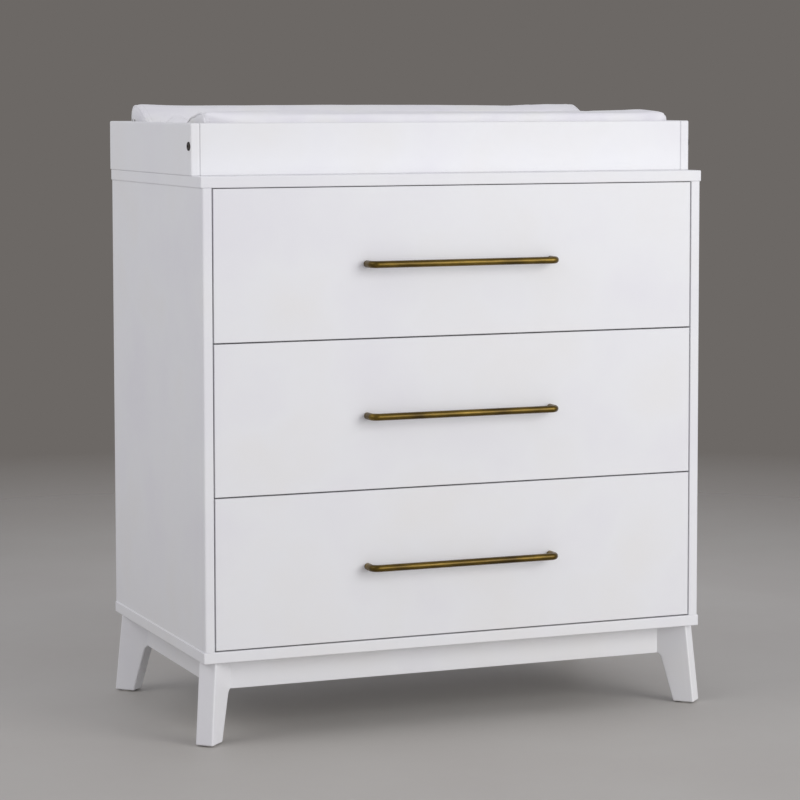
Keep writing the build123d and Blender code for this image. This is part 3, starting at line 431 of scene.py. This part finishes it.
studio_floor()
studio_world()
soft_light("key", (3.2, -5.0, 2.2), (0, 0, 0.5), 3.4, 148)
soft_light("left_fill", (-3.5, -0.5, 3.0), (0, 0, 0.7), 2.5, 31)
soft_light("low_fill", (1.2, -3.2, 0.4), (0, -0.2, 0.1), 1.6, 6)

# ---- pieces made by rule -------------------------------------------------------------------------


def new_rule(name, *inputs):
    """An empty Geometry Nodes tree with named inputs; each is (socket type, name, value)."""
    tree = bpy.data.node_groups.new(name, "GeometryNodeTree")
    tree.interface.new_socket("Geometry", in_out="OUTPUT", socket_type="NodeSocketGeometry")
    for kind, label, value in inputs:
        socket = tree.interface.new_socket(label, in_out="INPUT", socket_type="NodeSocket" + kind)
        if value is not None:
            socket.default_value = value
    given = add(tree, "NodeGroupInput").outputs
    return tree, given


def end_rule(tree, shape, given):
    """Every rule ends the same way: real geometry, in its material."""
    real = add(tree, "GeometryNodeRealizeInstances", {"Geometry": shape})
    dressed = add(tree, "GeometryNodeSetMaterial",
                  {"Geometry": real.outputs[0], "Material": given["Material"]})
    add(tree, "NodeGroupOutput", {"Geometry": dressed.outputs[0]})


def grow(name, tree, start=None, **values):
    """Runs a rule once and keeps its result as a plain mesh at the origin."""
    piece = placed(name, start or bpy.data.meshes.new(name + "_start"))
    modifier = piece.modifiers.new("rule", "NODES")
    modifier.node_group = tree
    for item in tree.interface.items_tree:
        key = item.name.lower().replace(" ", "_")
        if item.in_out == "INPUT" and key in values:
            modifier[item.identifier] = values[key]
    now = bpy.context.evaluated_depsgraph_get()
    made = bpy.data.meshes.new_from_object(piece.evaluated_get(now), depsgraph=now)
    piece.modifiers.remove(modifier)
    piece.data = made
    made.name = name
    return piece


def pull_rule():
    """A round bar bent back at both ends to meet the drawer front: a path of four corners, rounded, swept."""
    tree, given = new_rule("pull", ("Float", "Post Spacing", 0.32), ("Float", "Reach", 0.027),
                           ("Float", "Bar Radius", 0.005), ("Float", "Bend Radius", 0.0095),
                           ("Vector", "Centre", (0, 0, 0)), ("Int", "Sides", 32), ("Material", "Material",
                                                                                   None))
    corner = add(tree, "GeometryNodeInputIndex").outputs[0]
    right = add(tree, "ShaderNodeMath", {0: corner, 1: 1.5}, operation="GREATER_THAN").outputs[0]
    half = add(tree, "ShaderNodeMath", {0: given["Post Spacing"], 1: 0.5}, operation="MULTIPLY").outputs[0]
    sign = add(tree, "ShaderNodeMath", {0: right, 1: 2.0, 2: -1.0}, operation="MULTIPLY_ADD").outputs[0]
    across = add(tree, "ShaderNodeMath", {0: sign, 1: half}, operation="MULTIPLY").outputs[0]
    off = add(tree, "ShaderNodeMath", {0: corner, 1: 1.5}, operation="SUBTRACT").outputs[0]
    off = add(tree, "ShaderNodeMath", {0: off}, operation="ABSOLUTE").outputs[0]
    front = add(tree, "ShaderNodeMath", {0: off, 1: 1.0}, operation="LESS_THAN").outputs[0]
    out = add(tree, "ShaderNodeMath", {0: given["Reach"], 1: -1.0}, operation="MULTIPLY").outputs[0]
    depth = add(tree, "ShaderNodeMath", {0: front, 1: out}, operation="MULTIPLY").outputs[0]
    spot = add(tree, "ShaderNodeCombineXYZ", {"X": across, "Y": depth})
    line = add(tree, "GeometryNodeMeshLine", {"Count": 4})
    placed = add(tree, "GeometryNodeSetPosition", {"Geometry": line.outputs[0], "Position": spot.outputs[0]})
    path = add(tree, "GeometryNodeMeshToCurve", {"Mesh": placed.outputs[0]})
    bent = add(tree, "GeometryNodeFilletCurve", {"Curve": path.outputs[0], "Radius": given["Bend Radius"],
                                                 "Count": 14}, mode="POLY")
    section = add(tree, "GeometryNodeCurvePrimitiveCircle", {"Resolution": given["Sides"],
                                                             "Radius": given["Bar Radius"]})
    bar = add(tree, "GeometryNodeCurveToMesh", {"Curve": bent.outputs[0], "Profile Curve": section.outputs[0],
                                                "Fill Caps": True})
    smooth = add(tree, "GeometryNodeSetShadeSmooth", {"Geometry": bar.outputs[0]})
    moved = add(tree, "GeometryNodeTransform",
                {"Geometry": smooth.outputs[0], "Translation": given["Centre"]})
    end_rule(tree, moved.outputs[0], given)
    return tree


PULL_SPACING = 320 * MM
PULL_RADIUS = 5.7 * MM
pull_tree = pull_rule()
for drawer in DRAWERS:
    low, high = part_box("pull_" + drawer)
    centre = Vector(((low.x + high.x) / 2, high.y, (low.z + high.z) / 2))
    pull = grow("brass_pull_" + drawer, pull_tree, post_spacing=PULL_SPACING, bar_radius=PULL_RADIUS,
                reach=high.y - low.y - PULL_RADIUS, centre=centre, material=FINISHES["brass"])
    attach(pull, "drawer_" + drawer)
    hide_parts("pull_" + drawer)

# ---- the pad -------------------------------------------------------------------------------------

PAD_LOW, PAD_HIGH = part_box("changing_pad")
PAD_START = 2.5 * MM          # the cover starts this much inside its full size, then swells
SWELL = 4.0 * MM              # the most that a point of it moves
CLOTH_FRAMES = 20
VOXEL = 5.5 * MM
END_STAND = 1.5 * MM          # the end panels hold the cover up this much more than the swelling does
END_STAND_RUN = 90 * MM
CORNER = 4 * MM               # upright corners, seen from above
FRONT_RIDGE = 100.5 * MM
BACK_RIDGE = 108.4 * MM
# the top's line from the front edge to the back edge: millimetres in, height over the pad's underside
PAD_LINE = ((0, 100), (8, 99.5), (40, 96), (78, 90), (98, 79), (142, 51), (156, 46), (250, 46), (264, 51),
            (312, 78), (338, 92), (356, 99), (372, 104.5), (385, 106), (396, 103.5), (406, 95))
# the right end's rounding along that line: how long it is, and how far it drops before the end panel
END_RUN = ((0, 30), (100, 22), (150, 8), (406, 4))
END_FALL = ((0, 13), (100, 10), (150, 6), (406, 3))
UPPER_SIDE = 30 * MM          # higher than this over the underside, a point belongs to the upper side
COLUMNS, ROWS = 200, 110      # of the cover before it is remeshed
QUILT_PITCH = 56 * MM
QUILT_START, QUILT_END = 92 * MM, 334 * MM
QUILT_LEFT, QUILT_RIGHT = 16 * MM, 44 * MM      # plain cover at the two ends
QUILT_FADE = 10 * MM
BELT_MARGIN, BELT_FADE = 5 * MM, 8 * MM         # plain cover beside the belt
VALLEY_HALF = 60 * MM         # the valley keeps its height this far from the middle, and eases over as much
BELT_LOW, BELT_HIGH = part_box("safety_belt")


def along_line(line, y):
    """A height from a line of (position, height) in millimetres, both returned in metres."""
    y = y / MM
    for (y0, h0), (y1, h1) in zip(line, line[1:]):
        if y <= y1:
            return (h0 + (h1 - h0) * max(y - y0, 0) / (y1 - y0)) * MM
    return line[-1][1] * MM


def soft_line(line, y, reach=7 * MM):
    """The same line with its corners eased over reach."""
    return sum(along_line(line, y + reach * k / 2) for k in (-2, -1, 0, 1, 2)) / 5


def quilt_lines(x, y):
    """Distance to the nearest quilting seam, and how strongly the quilting shows there, 0 to 1."""
    y = y - PAD_LOW.y
    x = x - PAD_LOW.x
    half = QUILT_PITCH / 2
    gap = min(abs((x + side * y + half) % QUILT_PITCH - half) for side in (-1, 1)) / 2 ** 0.5
    inside = min(y - QUILT_START, QUILT_END - y, x - QUILT_LEFT, PAD_HIGH.x - PAD_LOW.x - QUILT_RIGHT - x)
    shows = min(max(inside / QUILT_FADE, 0), 1)
    middle = abs(x + PAD_LOW.x - (BELT_LOW.x + BELT_HIGH.x) / 2) - (BELT_HIGH.x - BELT_LOW.x) / 2
    return gap, shows * min(max((middle - BELT_MARGIN) / BELT_FADE, 0), 1)


def pad_start():
    """The pad's foam: a top skin over a flat underside, closed round the edge."""
    low = PAD_LOW + Vector((-3 * MM, PAD_START, 0.2 * MM))
    high = PAD_HIGH - Vector((-2.5 * MM, PAD_START / 2, 0))
    width, depth = high.x - low.x, high.y - low.y
    bm = bmesh.new()

    def end_drop(x, y):
        run, fall = (along_line(line, y - PAD_LOW.y) for line in (END_RUN, END_FALL))
        past = max(x - (high.x - run), 0) / run
        return fall * (1 - math.sqrt(max(1 - past ** 3, 0)))

    def station(share):
        return 0.5 - 0.5 * math.cos(math.pi * share) if share > 0.5 else 0.5 * (share * 2) ** 0.9

    skins = []
    for top in (True, False):
        grid = []
        for i in range(COLUMNS + 1):
            x = low.x + width * station(i / COLUMNS)
            near = max(CORNER - min(x - low.x, high.x - x), 0)
            pinch = CORNER - math.sqrt(CORNER ** 2 - near ** 2)
            row = []
            for j in range(ROWS + 1):
                y = low.y + pinch + (depth - 2 * pinch) * j / ROWS
                z = low.z
                if top:
                    stand = max(1 - min(x - low.x, high.x - x) / END_STAND_RUN, 0) ** 2 * END_STAND
                    z += soft_line(PAD_LINE, y - PAD_LOW.y) - end_drop(x, y) - PAD_START * 0.6 + stand
                row.append(bm.verts.new((x, y, z)))
            grid.append(row)
        skins.append(grid)
        for i in range(COLUMNS):
            for j in range(ROWS):
                bm.faces.new((grid[i][j], grid[i + 1][j], grid[i + 1][j + 1], grid[i][j + 1]))
    upper, lower = skins
    for edge in ([(i, 0) for i in range(COLUMNS + 1)], [(COLUMNS, j) for j in range(ROWS + 1)],
                 [(i, ROWS) for i in range(COLUMNS, -1, -1)], [(0, j) for j in range(ROWS, -1, -1)]):
        for (i, j), (k, m) in zip(edge, edge[1:]):
            bm.faces.new((lower[i][j], lower[k][m], upper[k][m], upper[i][j]))
    bmesh.ops.recalc_face_normals(bm, faces=bm.faces)
    mesh = mesh_of(bm, "pad_cover")
    piece = placed("pad_cover", mesh)
    return piece


def settle(piece):
    """Keeps what the piece's modifiers make of it as its own mesh."""
    now = bpy.context.evaluated_depsgraph_get()
    made = bpy.data.meshes.new_from_object(piece.evaluated_get(now), depsgraph=now)
    piece.modifiers.clear()
    piece.data = made


def swell(piece):
    """Fills the cover: cloth under pressure, held at its underside, its end seams and its quilting."""
    held = piece.vertex_groups.new(name="held")
    for point in piece.data.vertices:
        x, y, z = point.co
        gap, shows = quilt_lines(x, y)
        on_top = z > PAD_LOW.z + UPPER_SIDE
        seam = x < PAD_LOW.x + 4 * MM
        quilted = on_top and shows > 0.3 and gap < 3.2 * MM
        under_belt = (on_top and BELT_LOW.y - 4 * MM < y < BELT_HIGH.y + 4 * MM
                      and BELT_LOW.x - 6 * MM < x < BELT_HIGH.x + 6 * MM)
        if z < PAD_LOW.z + 6 * MM or seam or quilted or under_belt:
            held.add([point.index], 1.0, "REPLACE")
    start = [point.co.copy() for point in piece.data.vertices]
    cloth = piece.modifiers.new("cloth", "CLOTH")
    cloth.settings.quality = 4
    cloth.settings.vertex_group_mass = "held"
    cloth.settings.use_pressure = True
    cloth.settings.uniform_pressure_force = 4
    cloth.settings.effector_weights.gravity = 0
    cloth.collision_settings.use_collision = False
    scene = bpy.context.scene
    for step in range(1, CLOTH_FRAMES + 1):
        scene.frame_set(step)
    now = bpy.context.evaluated_depsgraph_get()
    full = [point.co.copy() for point in piece.evaluated_get(now).data.vertices]
    piece.modifiers.clear()
    scene.frame_set(1)
    piece.vertex_groups.clear()
    for point, begin, end in zip(piece.data.vertices, start, full):
        way = end - begin
        if way.length > SWELL:
            way *= SWELL / way.length
        point.co = begin + way


pad = pad_start()
remesh = pad.modifiers.new("remesh", "REMESH")
remesh.mode = "VOXEL"
remesh.voxel_size = VOXEL
ease = pad.modifiers.new("ease", "SMOOTH")
ease.factor = 0.5
ease.iterations = 2
settle(pad)
swell(pad)
finer = pad.modifiers.new("finer", "SUBSURF")
finer.levels = finer.render_levels = 1
settle(pad)


def fit_ridges(piece):
    """Brings both ridges to their full height; the valley between stays where it is."""
    base, centre, middle = PAD_LOW.z, (PAD_LOW.x + PAD_HIGH.x) / 2, (PAD_LOW.y + PAD_HIGH.y) / 2
    for side, full in ((-1, FRONT_RIDGE), (1, BACK_RIDGE)):
        ridge = [p for p in piece.data.vertices if (p.co.y - middle) * side > 0]
        crest = max(p.co.z for p in ridge if abs(p.co.x - centre) < 250 * MM)
        grow_by = full / (crest - base) - 1
        for point in ridge:
            share = min(max((abs(point.co.y - middle) - VALLEY_HALF) / VALLEY_HALF, 0), 1)
            point.co.z = base + (point.co.z - base) * (1 + grow_by * share * share * (3 - 2 * share))


fit_ridges(pad)


def press_seams(piece):
    """The thread draws the cover in: a groove along every quilting seam, and slack creases beside the
    ends."""
    piece.data.update()
    outward = [Vector(v.normal) for v in piece.data.vertices]
    for point, normal in zip(piece.data.vertices, outward):
        if normal.z < 0.2 or point.co.z < PAD_LOW.z + UPPER_SIDE:
            continue
        gap, shows = quilt_lines(point.co.x, point.co.y)
        point.co -= normal * shows * 1.8 * MM * math.exp(-(gap / (2.6 * MM)) ** 2)
        tug = noise.noise(Vector((point.co.x / 0.055, point.co.y / 0.016, 3.7)))
        point.co += normal * (1 - shows) * 0.35 * MM * tug


press_seams(pad)
for face in pad.data.polygons:
    face.use_smooth = True
pad.data.materials.clear()
pad.data.materials.append(FINISHES["pad_cover"])
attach(pad, "pad")
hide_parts("changing_pad")
pad_skin = BVHTree.FromPolygons([v.co for v in pad.data.vertices], [f.vertices for f in pad.data.polygons])


def on_cover(x, y, lift=0.0):
    """The point of the cover's upper side over (x, y)."""
    spot, normal, _, _ = pad_skin.ray_cast(Vector((x, y, PAD_HIGH.z + 0.1)), Vector((0, 0, -1)))
    if spot is None:
        spot, normal, _, _ = pad_skin.find_nearest(Vector((x, y, PAD_HIGH.z - 20 * MM)))
    return spot + normal * lift


def round_end(x, inset, lift):
    """A line over the cover at x: up the front side, over both ridges and down the back side."""
    line = []
    low, high = PAD_LOW.y, PAD_HIGH.y
    fore, aft = Vector((x, low - 0.05, 0)), Vector((x, high + 0.05, 0))
    for start, way in ((fore, Vector((0, 1, 0))), (aft, Vector((0, -1, 0)))):
        edge = on_cover(x, (low + inset) if way.y > 0 else (high - inset)).z
        side, z = [], PAD_LOW.z + 8 * MM
        while z < edge - 2 * MM:
            start.z = z
            spot, normal, _, _ = pad_skin.ray_cast(start, way)
            side.append(spot + normal * lift)
            z += 5 * MM
        line.append(side)
    count = 90
    over = [on_cover(x, low + inset + (high - low - 2 * inset) * k / count, lift) for k in range(count + 1)]
    line = line[0] + over + line[1][::-1]
    for _ in range(3):
        line = line[:1] + [(a + b * 2 + c) / 4 for a, b, c in zip(line, line[1:], line[2:])] + line[-1:]
    return line


def swept(name, lines, radius, sides=3):
    """A round cord along each line, as one closed mesh."""
    data = bpy.data.curves.new(name, "CURVE")
    data.dimensions = "3D"
    data.bevel_depth = radius
    data.bevel_resolution = sides
    data.use_fill_caps = True
    for line in lines:
        run = data.splines.new("POLY")
        run.points.add(len(line) - 1)
        for point, spot in zip(run.points, line):
            point.co = (*spot, 1)
    curve = placed(name, data)
    now = bpy.context.evaluated_depsgraph_get()
    mesh = bpy.data.meshes.new_from_object(curve.evaluated_get(now), depsgraph=now)
    bpy.data.objects.remove(curve)
    piece = placed(name, mesh)
    for face in mesh.polygons:
        face.use_smooth = True
    return piece


def dress(piece, finish, body="pad"):
    """Material, body and slot of a finished piece."""
    piece.data.materials.clear()
    piece.data.materials.append(FINISHES[finish])
    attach(piece, body)


PIPING_RADIUS = 2.0 * MM
PIPING_LIFT = 0.4 * MM
THREAD_LIFT = 0.1 * MM
left_seam, right_seam = PAD_LOW.x, PAD_HIGH.x - 3 * MM
piping_lines = [round_end(left_seam, 5 * MM, PIPING_LIFT), round_end(right_seam, 10 * MM, PIPING_LIFT)]
piping = swept("pad_piping", piping_lines, PIPING_RADIUS)
dress(piping, "pad_cover")


def stitch_rule():
    """Thread along any path: short plump stitches, one after another."""
    tree, given = new_rule("stitches", ("Geometry", "Path", None), ("Float", "Pitch", 4.0 * MM),
                           ("Float", "Length", 3.0 * MM), ("Float", "Thread Radius", 0.45 * MM),
                           ("Int", "Seed", 3), ("Material", "Material", None))
    path = add(tree, "GeometryNodeMeshToCurve", {"Mesh": given["Path"]})
    steps = add(tree, "GeometryNodeResampleCurve", {"Curve": path.outputs[0], "Length": given["Pitch"]},
                mode="LENGTH")
    ball = add(tree, "GeometryNodeMeshUVSphere", {"Segments": 6, "Rings": 4, "Radius": 1.0})
    smooth = add(tree, "GeometryNodeSetShadeSmooth", {"Geometry": ball.outputs["Mesh"]})
    half = add(tree, "ShaderNodeMath", {0: given["Length"], 1: 0.5}, operation="MULTIPLY").outputs[0]
    size = add(tree, "ShaderNodeCombineXYZ",
               {"X": half, "Y": given["Thread Radius"], "Z": given["Thread Radius"]})
    stitch = add(tree, "GeometryNodeTransform", {"Geometry": smooth.outputs[0], "Scale": size.outputs[0]})
    along = add(tree, "GeometryNodeInputTangent").outputs[0]
    turn = add(tree, "FunctionNodeAlignRotationToVector", {"Vector": along}, axis="X").outputs[0]
    vary = add(tree, "FunctionNodeRandomValue", {2: 0.88, 3: 1.1, "Seed": given["Seed"]}, data_type="FLOAT")
    laid = add(tree, "GeometryNodeInstanceOnPoints",
               {"Points": steps.outputs[0], "Instance": stitch.outputs[0],
                                                      "Rotation": turn, "Scale": vary.outputs[1]})
    end_rule(tree, laid.outputs[0], given)
    return tree


def path_mesh(name, lines):
    """Lines of points as a mesh of edges."""
    points, edges = [], []
    for line in lines:
        edges += [(len(points) + k, len(points) + k + 1) for k in range(len(line) - 1)]
        points += line
    mesh = bpy.data.meshes.new(name + "_path")
    mesh.from_pydata(points, edges, [])
    return mesh


def quilt_paths():
    """The quilting's seams, two ways across the valley and its slopes."""
    length, lines = PAD_HIGH.x - PAD_LOW.x, []
    for side in (-1, 1):
        for number in range(-10, 25):
            line, y = [], QUILT_START
            while y < QUILT_END:
                x = number * QUILT_PITCH - side * y
                spot = (PAD_LOW.x + x, PAD_LOW.y + y)
                if 0 < x < length and quilt_lines(*spot)[1] > 0.35:
                    line.append(on_cover(*spot, THREAD_LIFT))
                else:
                    lines.append(line)
                    line = []
                y += 3 * MM
            lines.append(line)
    return [line for line in lines if len(line) > 3]


stitches = stitch_rule()
seam_lines = [round_end(left_seam + 8 * MM, 6 * MM, THREAD_LIFT),
              round_end(right_seam - 10 * MM, 10 * MM, THREAD_LIFT)]
thread = grow("pad_stitches", stitches, path_mesh("pad_stitches", quilt_paths() + seam_lines), pitch=4.2 * MM,
              length=3.2 * MM, thread_radius=0.42 * MM, seed=3, material=FINISHES["thread"])
dress(thread, "thread")


EYELET_YS = (226 * MM, 212 * MM)
EYELET_HEIGHT = 82.5 * MM
EYELET_RADIUS, EYELET_CORD = 3.2 * MM, 0.8 * MM
VENT_RADIUS, VENT_STAND = 2.9 * MM, 0.35 * MM


def end_eyelets():
    """Two vents in the left end, each a rolled ring round a dark disc of painted shade that stands in for the
    hole.
    """
    for number, y in enumerate(EYELET_YS):
        start = Vector((PAD_LOW.x - 0.05, y, PAD_LOW.z + EYELET_HEIGHT))
        spot, normal, _, _ = pad_skin.ray_cast(start, Vector((1, 0, 0)))
        turn = normal.to_track_quat("Z", "Y").to_matrix()
        ring = [turn @ Vector((math.cos(a) * EYELET_RADIUS, math.sin(a) * EYELET_RADIUS, 0.3 * MM)) + spot
                for a in [k * math.tau / 24 for k in range(25)]]
        dress(swept("pad_eyelet_" + str(number), [ring], EYELET_CORD), "buckle_plastic")
        bm = bmesh.new()
        bmesh.ops.create_circle(bm, cap_ends=True, radius=VENT_RADIUS, segments=24)
        seat = Matrix.Translation(spot + normal * VENT_STAND) @ turn.to_4x4()
        bmesh.ops.transform(bm, verts=bm.verts, matrix=seat)
        # Each dark disc is painted shade that sits where the vent hole's shade would fall.
        dress(placed("pad_vent_" + str(number), mesh_of(bm, "pad_vent")), "shadow")


end_eyelets()

# ---- the belt and its buckle ---------------------------------------------------------------------

BUCKLE_LOW, BUCKLE_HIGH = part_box("safety_buckle")
STRAP_THICK = 1.5 * MM
BAR_INSET, BAR_HEIGHT = 3.2 * MM, 6.2 * MM      # the buckle's bars that the straps go round
BAR_WRAP = 2.9 * MM
TACK_NEAR, TACK_FAR = 5, 13                     # millimetres from a strap's sewn end
strap_mid = (BELT_LOW.x + BELT_HIGH.x) / 2
strap_half = (BELT_HIGH.x - BELT_LOW.x) / 2
belt_mid = (BELT_LOW.y + BELT_HIGH.y) / 2
belt_floor = BELT_LOW.z


def strap_path(side):
    """From its sewn end the strap lies on the cover, climbs round the buckle's bar and comes back on
    itself."""
    t = STRAP_THICK
    end = BELT_HIGH.y - belt_mid
    bar = BUCKLE_HIGH.y - belt_mid - BAR_INSET
    rise = BAR_HEIGHT
    low = [(end, t / 2), (end - 6 * MM, t / 2), (bar + 9 * MM, t / 2), (bar + 4 * MM, t / 2 + 0.8 * MM),
           (bar, rise - 3.1 * MM)]
    turn = [(bar - BAR_WRAP * math.cos(a), rise + BAR_WRAP * math.sin(a))
            for a in [math.radians(d) for d in (-60, -30, 0, 30, 60, 90)]]
    back = [(bar + 4 * MM, rise + 2.0 * MM), (bar + 7 * MM, t * 1.5 + 1.2 * MM),
            (bar + 10 * MM, t * 1.5 + 0.2 * MM), (end - 3 * MM, t * 1.5 + 0.1 * MM)]
    return [Vector((0, belt_mid + side * y, belt_floor + z)) for y, z in low + turn + back]


def ribbon(name, path, middle, half, thick):
    """A strap with rolled edges along a path in the middle plane; its map is in millimetres of cloth."""
    edge = 0.7 * MM
    section = ((-half, 0), (edge - half, thick / 2), (half - edge, thick / 2), (half, 0),
               (half - edge, -thick / 2), (edge - half, -thick / 2))
    bm = bmesh.new()
    cloth = bm.loops.layers.uv.new("strap")
    rings, run = [], [0.0]
    for before, spot in zip(path, path[1:]):
        run.append(run[-1] + (spot - before).length)
    for k, spot in enumerate(path):
        way = (path[min(k + 1, len(path) - 1)] - path[max(k - 1, 0)]).normalized()
        out = Vector((0, -way.z, way.y))
        rings.append([bm.verts.new(spot + Vector((middle + x, 0, 0)) + out * z) for x, z in section])
    for k in range(len(rings) - 1):
        for j in range(6):
            n = (j + 1) % 6
            face = bm.faces.new((rings[k][j], rings[k][n], rings[k + 1][n], rings[k + 1][j]))
            face.smooth = j in (1, 4)
            for loop, (m, q) in zip(face.loops, ((k, j), (k, n), (k + 1, n), (k + 1, j))):
                loop[cloth].uv = (run[m] / MM, section[q][0] / MM)
    bm.faces.new(rings[0])
    bm.faces.new(rings[-1])
    bmesh.ops.recalc_face_normals(bm, faces=bm.faces)
    mesh = mesh_of(bm, name)
    piece = placed(name, mesh)
    return piece


tacks = []
for label, side in (("front", -1), ("back", 1)):
    strap = ribbon("belt_strap_" + label, strap_path(side), strap_mid, strap_half, STRAP_THICK)
    dress(strap, "webbing")
    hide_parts("safety_belt")
    top = belt_floor + STRAP_THICK * 2 + 0.25 * MM
    near, far = (belt_mid + side * (BELT_HIGH.y - belt_mid - inset * MM) for inset in (TACK_NEAR, TACK_FAR))
    left, right = strap_mid - strap_half + 3 * MM, strap_mid + strap_half - 3 * MM
    box = [(left, near), (right, near), (right, far), (left, far), (left, near), (right, far)]
    tacks.append([Vector((x, y, top)) for x, y in box])
    tacks.append([Vector((right, near, top + 0.1 * MM)), Vector((left, far, top + 0.1 * MM))])
belt_thread = grow("belt_stitches", stitches, path_mesh("belt_stitches", tacks), pitch=2.6 * MM,
                   length=2.1 * MM,
                   thread_radius=0.4 * MM, seed=5, material=FINISHES["thread"])
dress(belt_thread, "thread")


def soft_block(bm, low, high, radius, steps=3):
    """A block with all its edges rounded, in millimetres from the buckle's middle at its underside."""
    made = bmesh.ops.create_cube(bm, size=1)["verts"]
    low, high = Vector(low) * MM, Vector(high) * MM
    for v in made:
        v.co = Vector((low[i] if v.co[i] < 0 else high[i] for i in range(3)))
    edges = {edge for v in made for edge in v.link_edges}
    bmesh.ops.bevel(bm, geom=list(edges), offset=radius * MM, segments=steps, profile=0.5, affect="EDGES")


def buckle():
    """Side-release buckle, closed: a shell of two plates, the plug's arms in its side windows, and bars for
    the straps."""
    w, l, h = (BUCKLE_HIGH - BUCKLE_LOW) / MM
    half, end = w / 2, l / 2
    shell_end, plate = 10, 3.2
    bm = bmesh.new()
    for low_z, high_z in ((0, plate), (h - plate, h)):
        soft_block(bm, (-half, -end + 9, low_z), (half, shell_end, high_z), 1.5)
    for side in (-1, 1):
        a, b = sorted((side * (half - 5), side * half))
        soft_block(bm, (a, -end, 0.6), (b, -end + 17, h - 0.6), 1.8)
        soft_block(bm, (a, shell_end - 7, 1.2), (b, shell_end - 0.2, h - 1.2), 1.2)
        c, d = sorted((side * (half - 6.5), side * (half + 0.6)))
        soft_block(bm, (c, -end + 18.5, 3.8), (d, shell_end - 8.5, h - 3.8), 1.3)
        e, f = sorted((side * (half - 12), side * (half - 7.5)))
        soft_block(bm, (e, -end + 20, 4.0), (f, end - 16, h - 4.0), 1.0)
        soft_block(bm, (min(a, b) + 1, end - 20, 1.0), (max(a, b) - 1.5, end - 0.2, h - 1.0), 1.6)
    soft_block(bm, (-half + 3, -end + 1.2, h / 2 - 2), (half - 3, -end + 5.2, h / 2 + 2), 1.6)
    soft_block(bm, (-half + 3, end - 5.2, h / 2 - 2), (half - 3, end - 1.2, h / 2 + 2), 1.6)
    soft_block(bm, (-half + 2, shell_end + 0.5, 0.8), (half - 2, end - 9.5, h - 0.8), 1.8)
    soft_block(bm, (-2.5, -end + 12, 3.6), (2.5, shell_end + 1, h - 3.6), 0.8)
    for rib in range(3):
        y = shell_end + 3.2 + rib * 2.6
        soft_block(bm, (-half + 9, y - 0.6, h - 1.4), (half - 9, y + 0.6, h + 0.1), 0.45, 2)
    place = Vector(((BUCKLE_LOW.x + BUCKLE_HIGH.x) / 2, (BUCKLE_LOW.y + BUCKLE_HIGH.y) / 2, BUCKLE_LOW.z))
    bmesh.ops.translate(bm, verts=bm.verts, vec=place)
    bmesh.ops.recalc_face_normals(bm, faces=bm.faces)
    mesh = mesh_of(bm, "belt_buckle")
    for face in mesh.polygons:
        face.use_smooth = True
    mesh.set_sharp_from_angle(angle=math.radians(50))
    piece = placed("belt_buckle", mesh)
    return piece


side_release = buckle()
dress(side_release, "buckle_plastic")
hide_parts("safety_buckle")
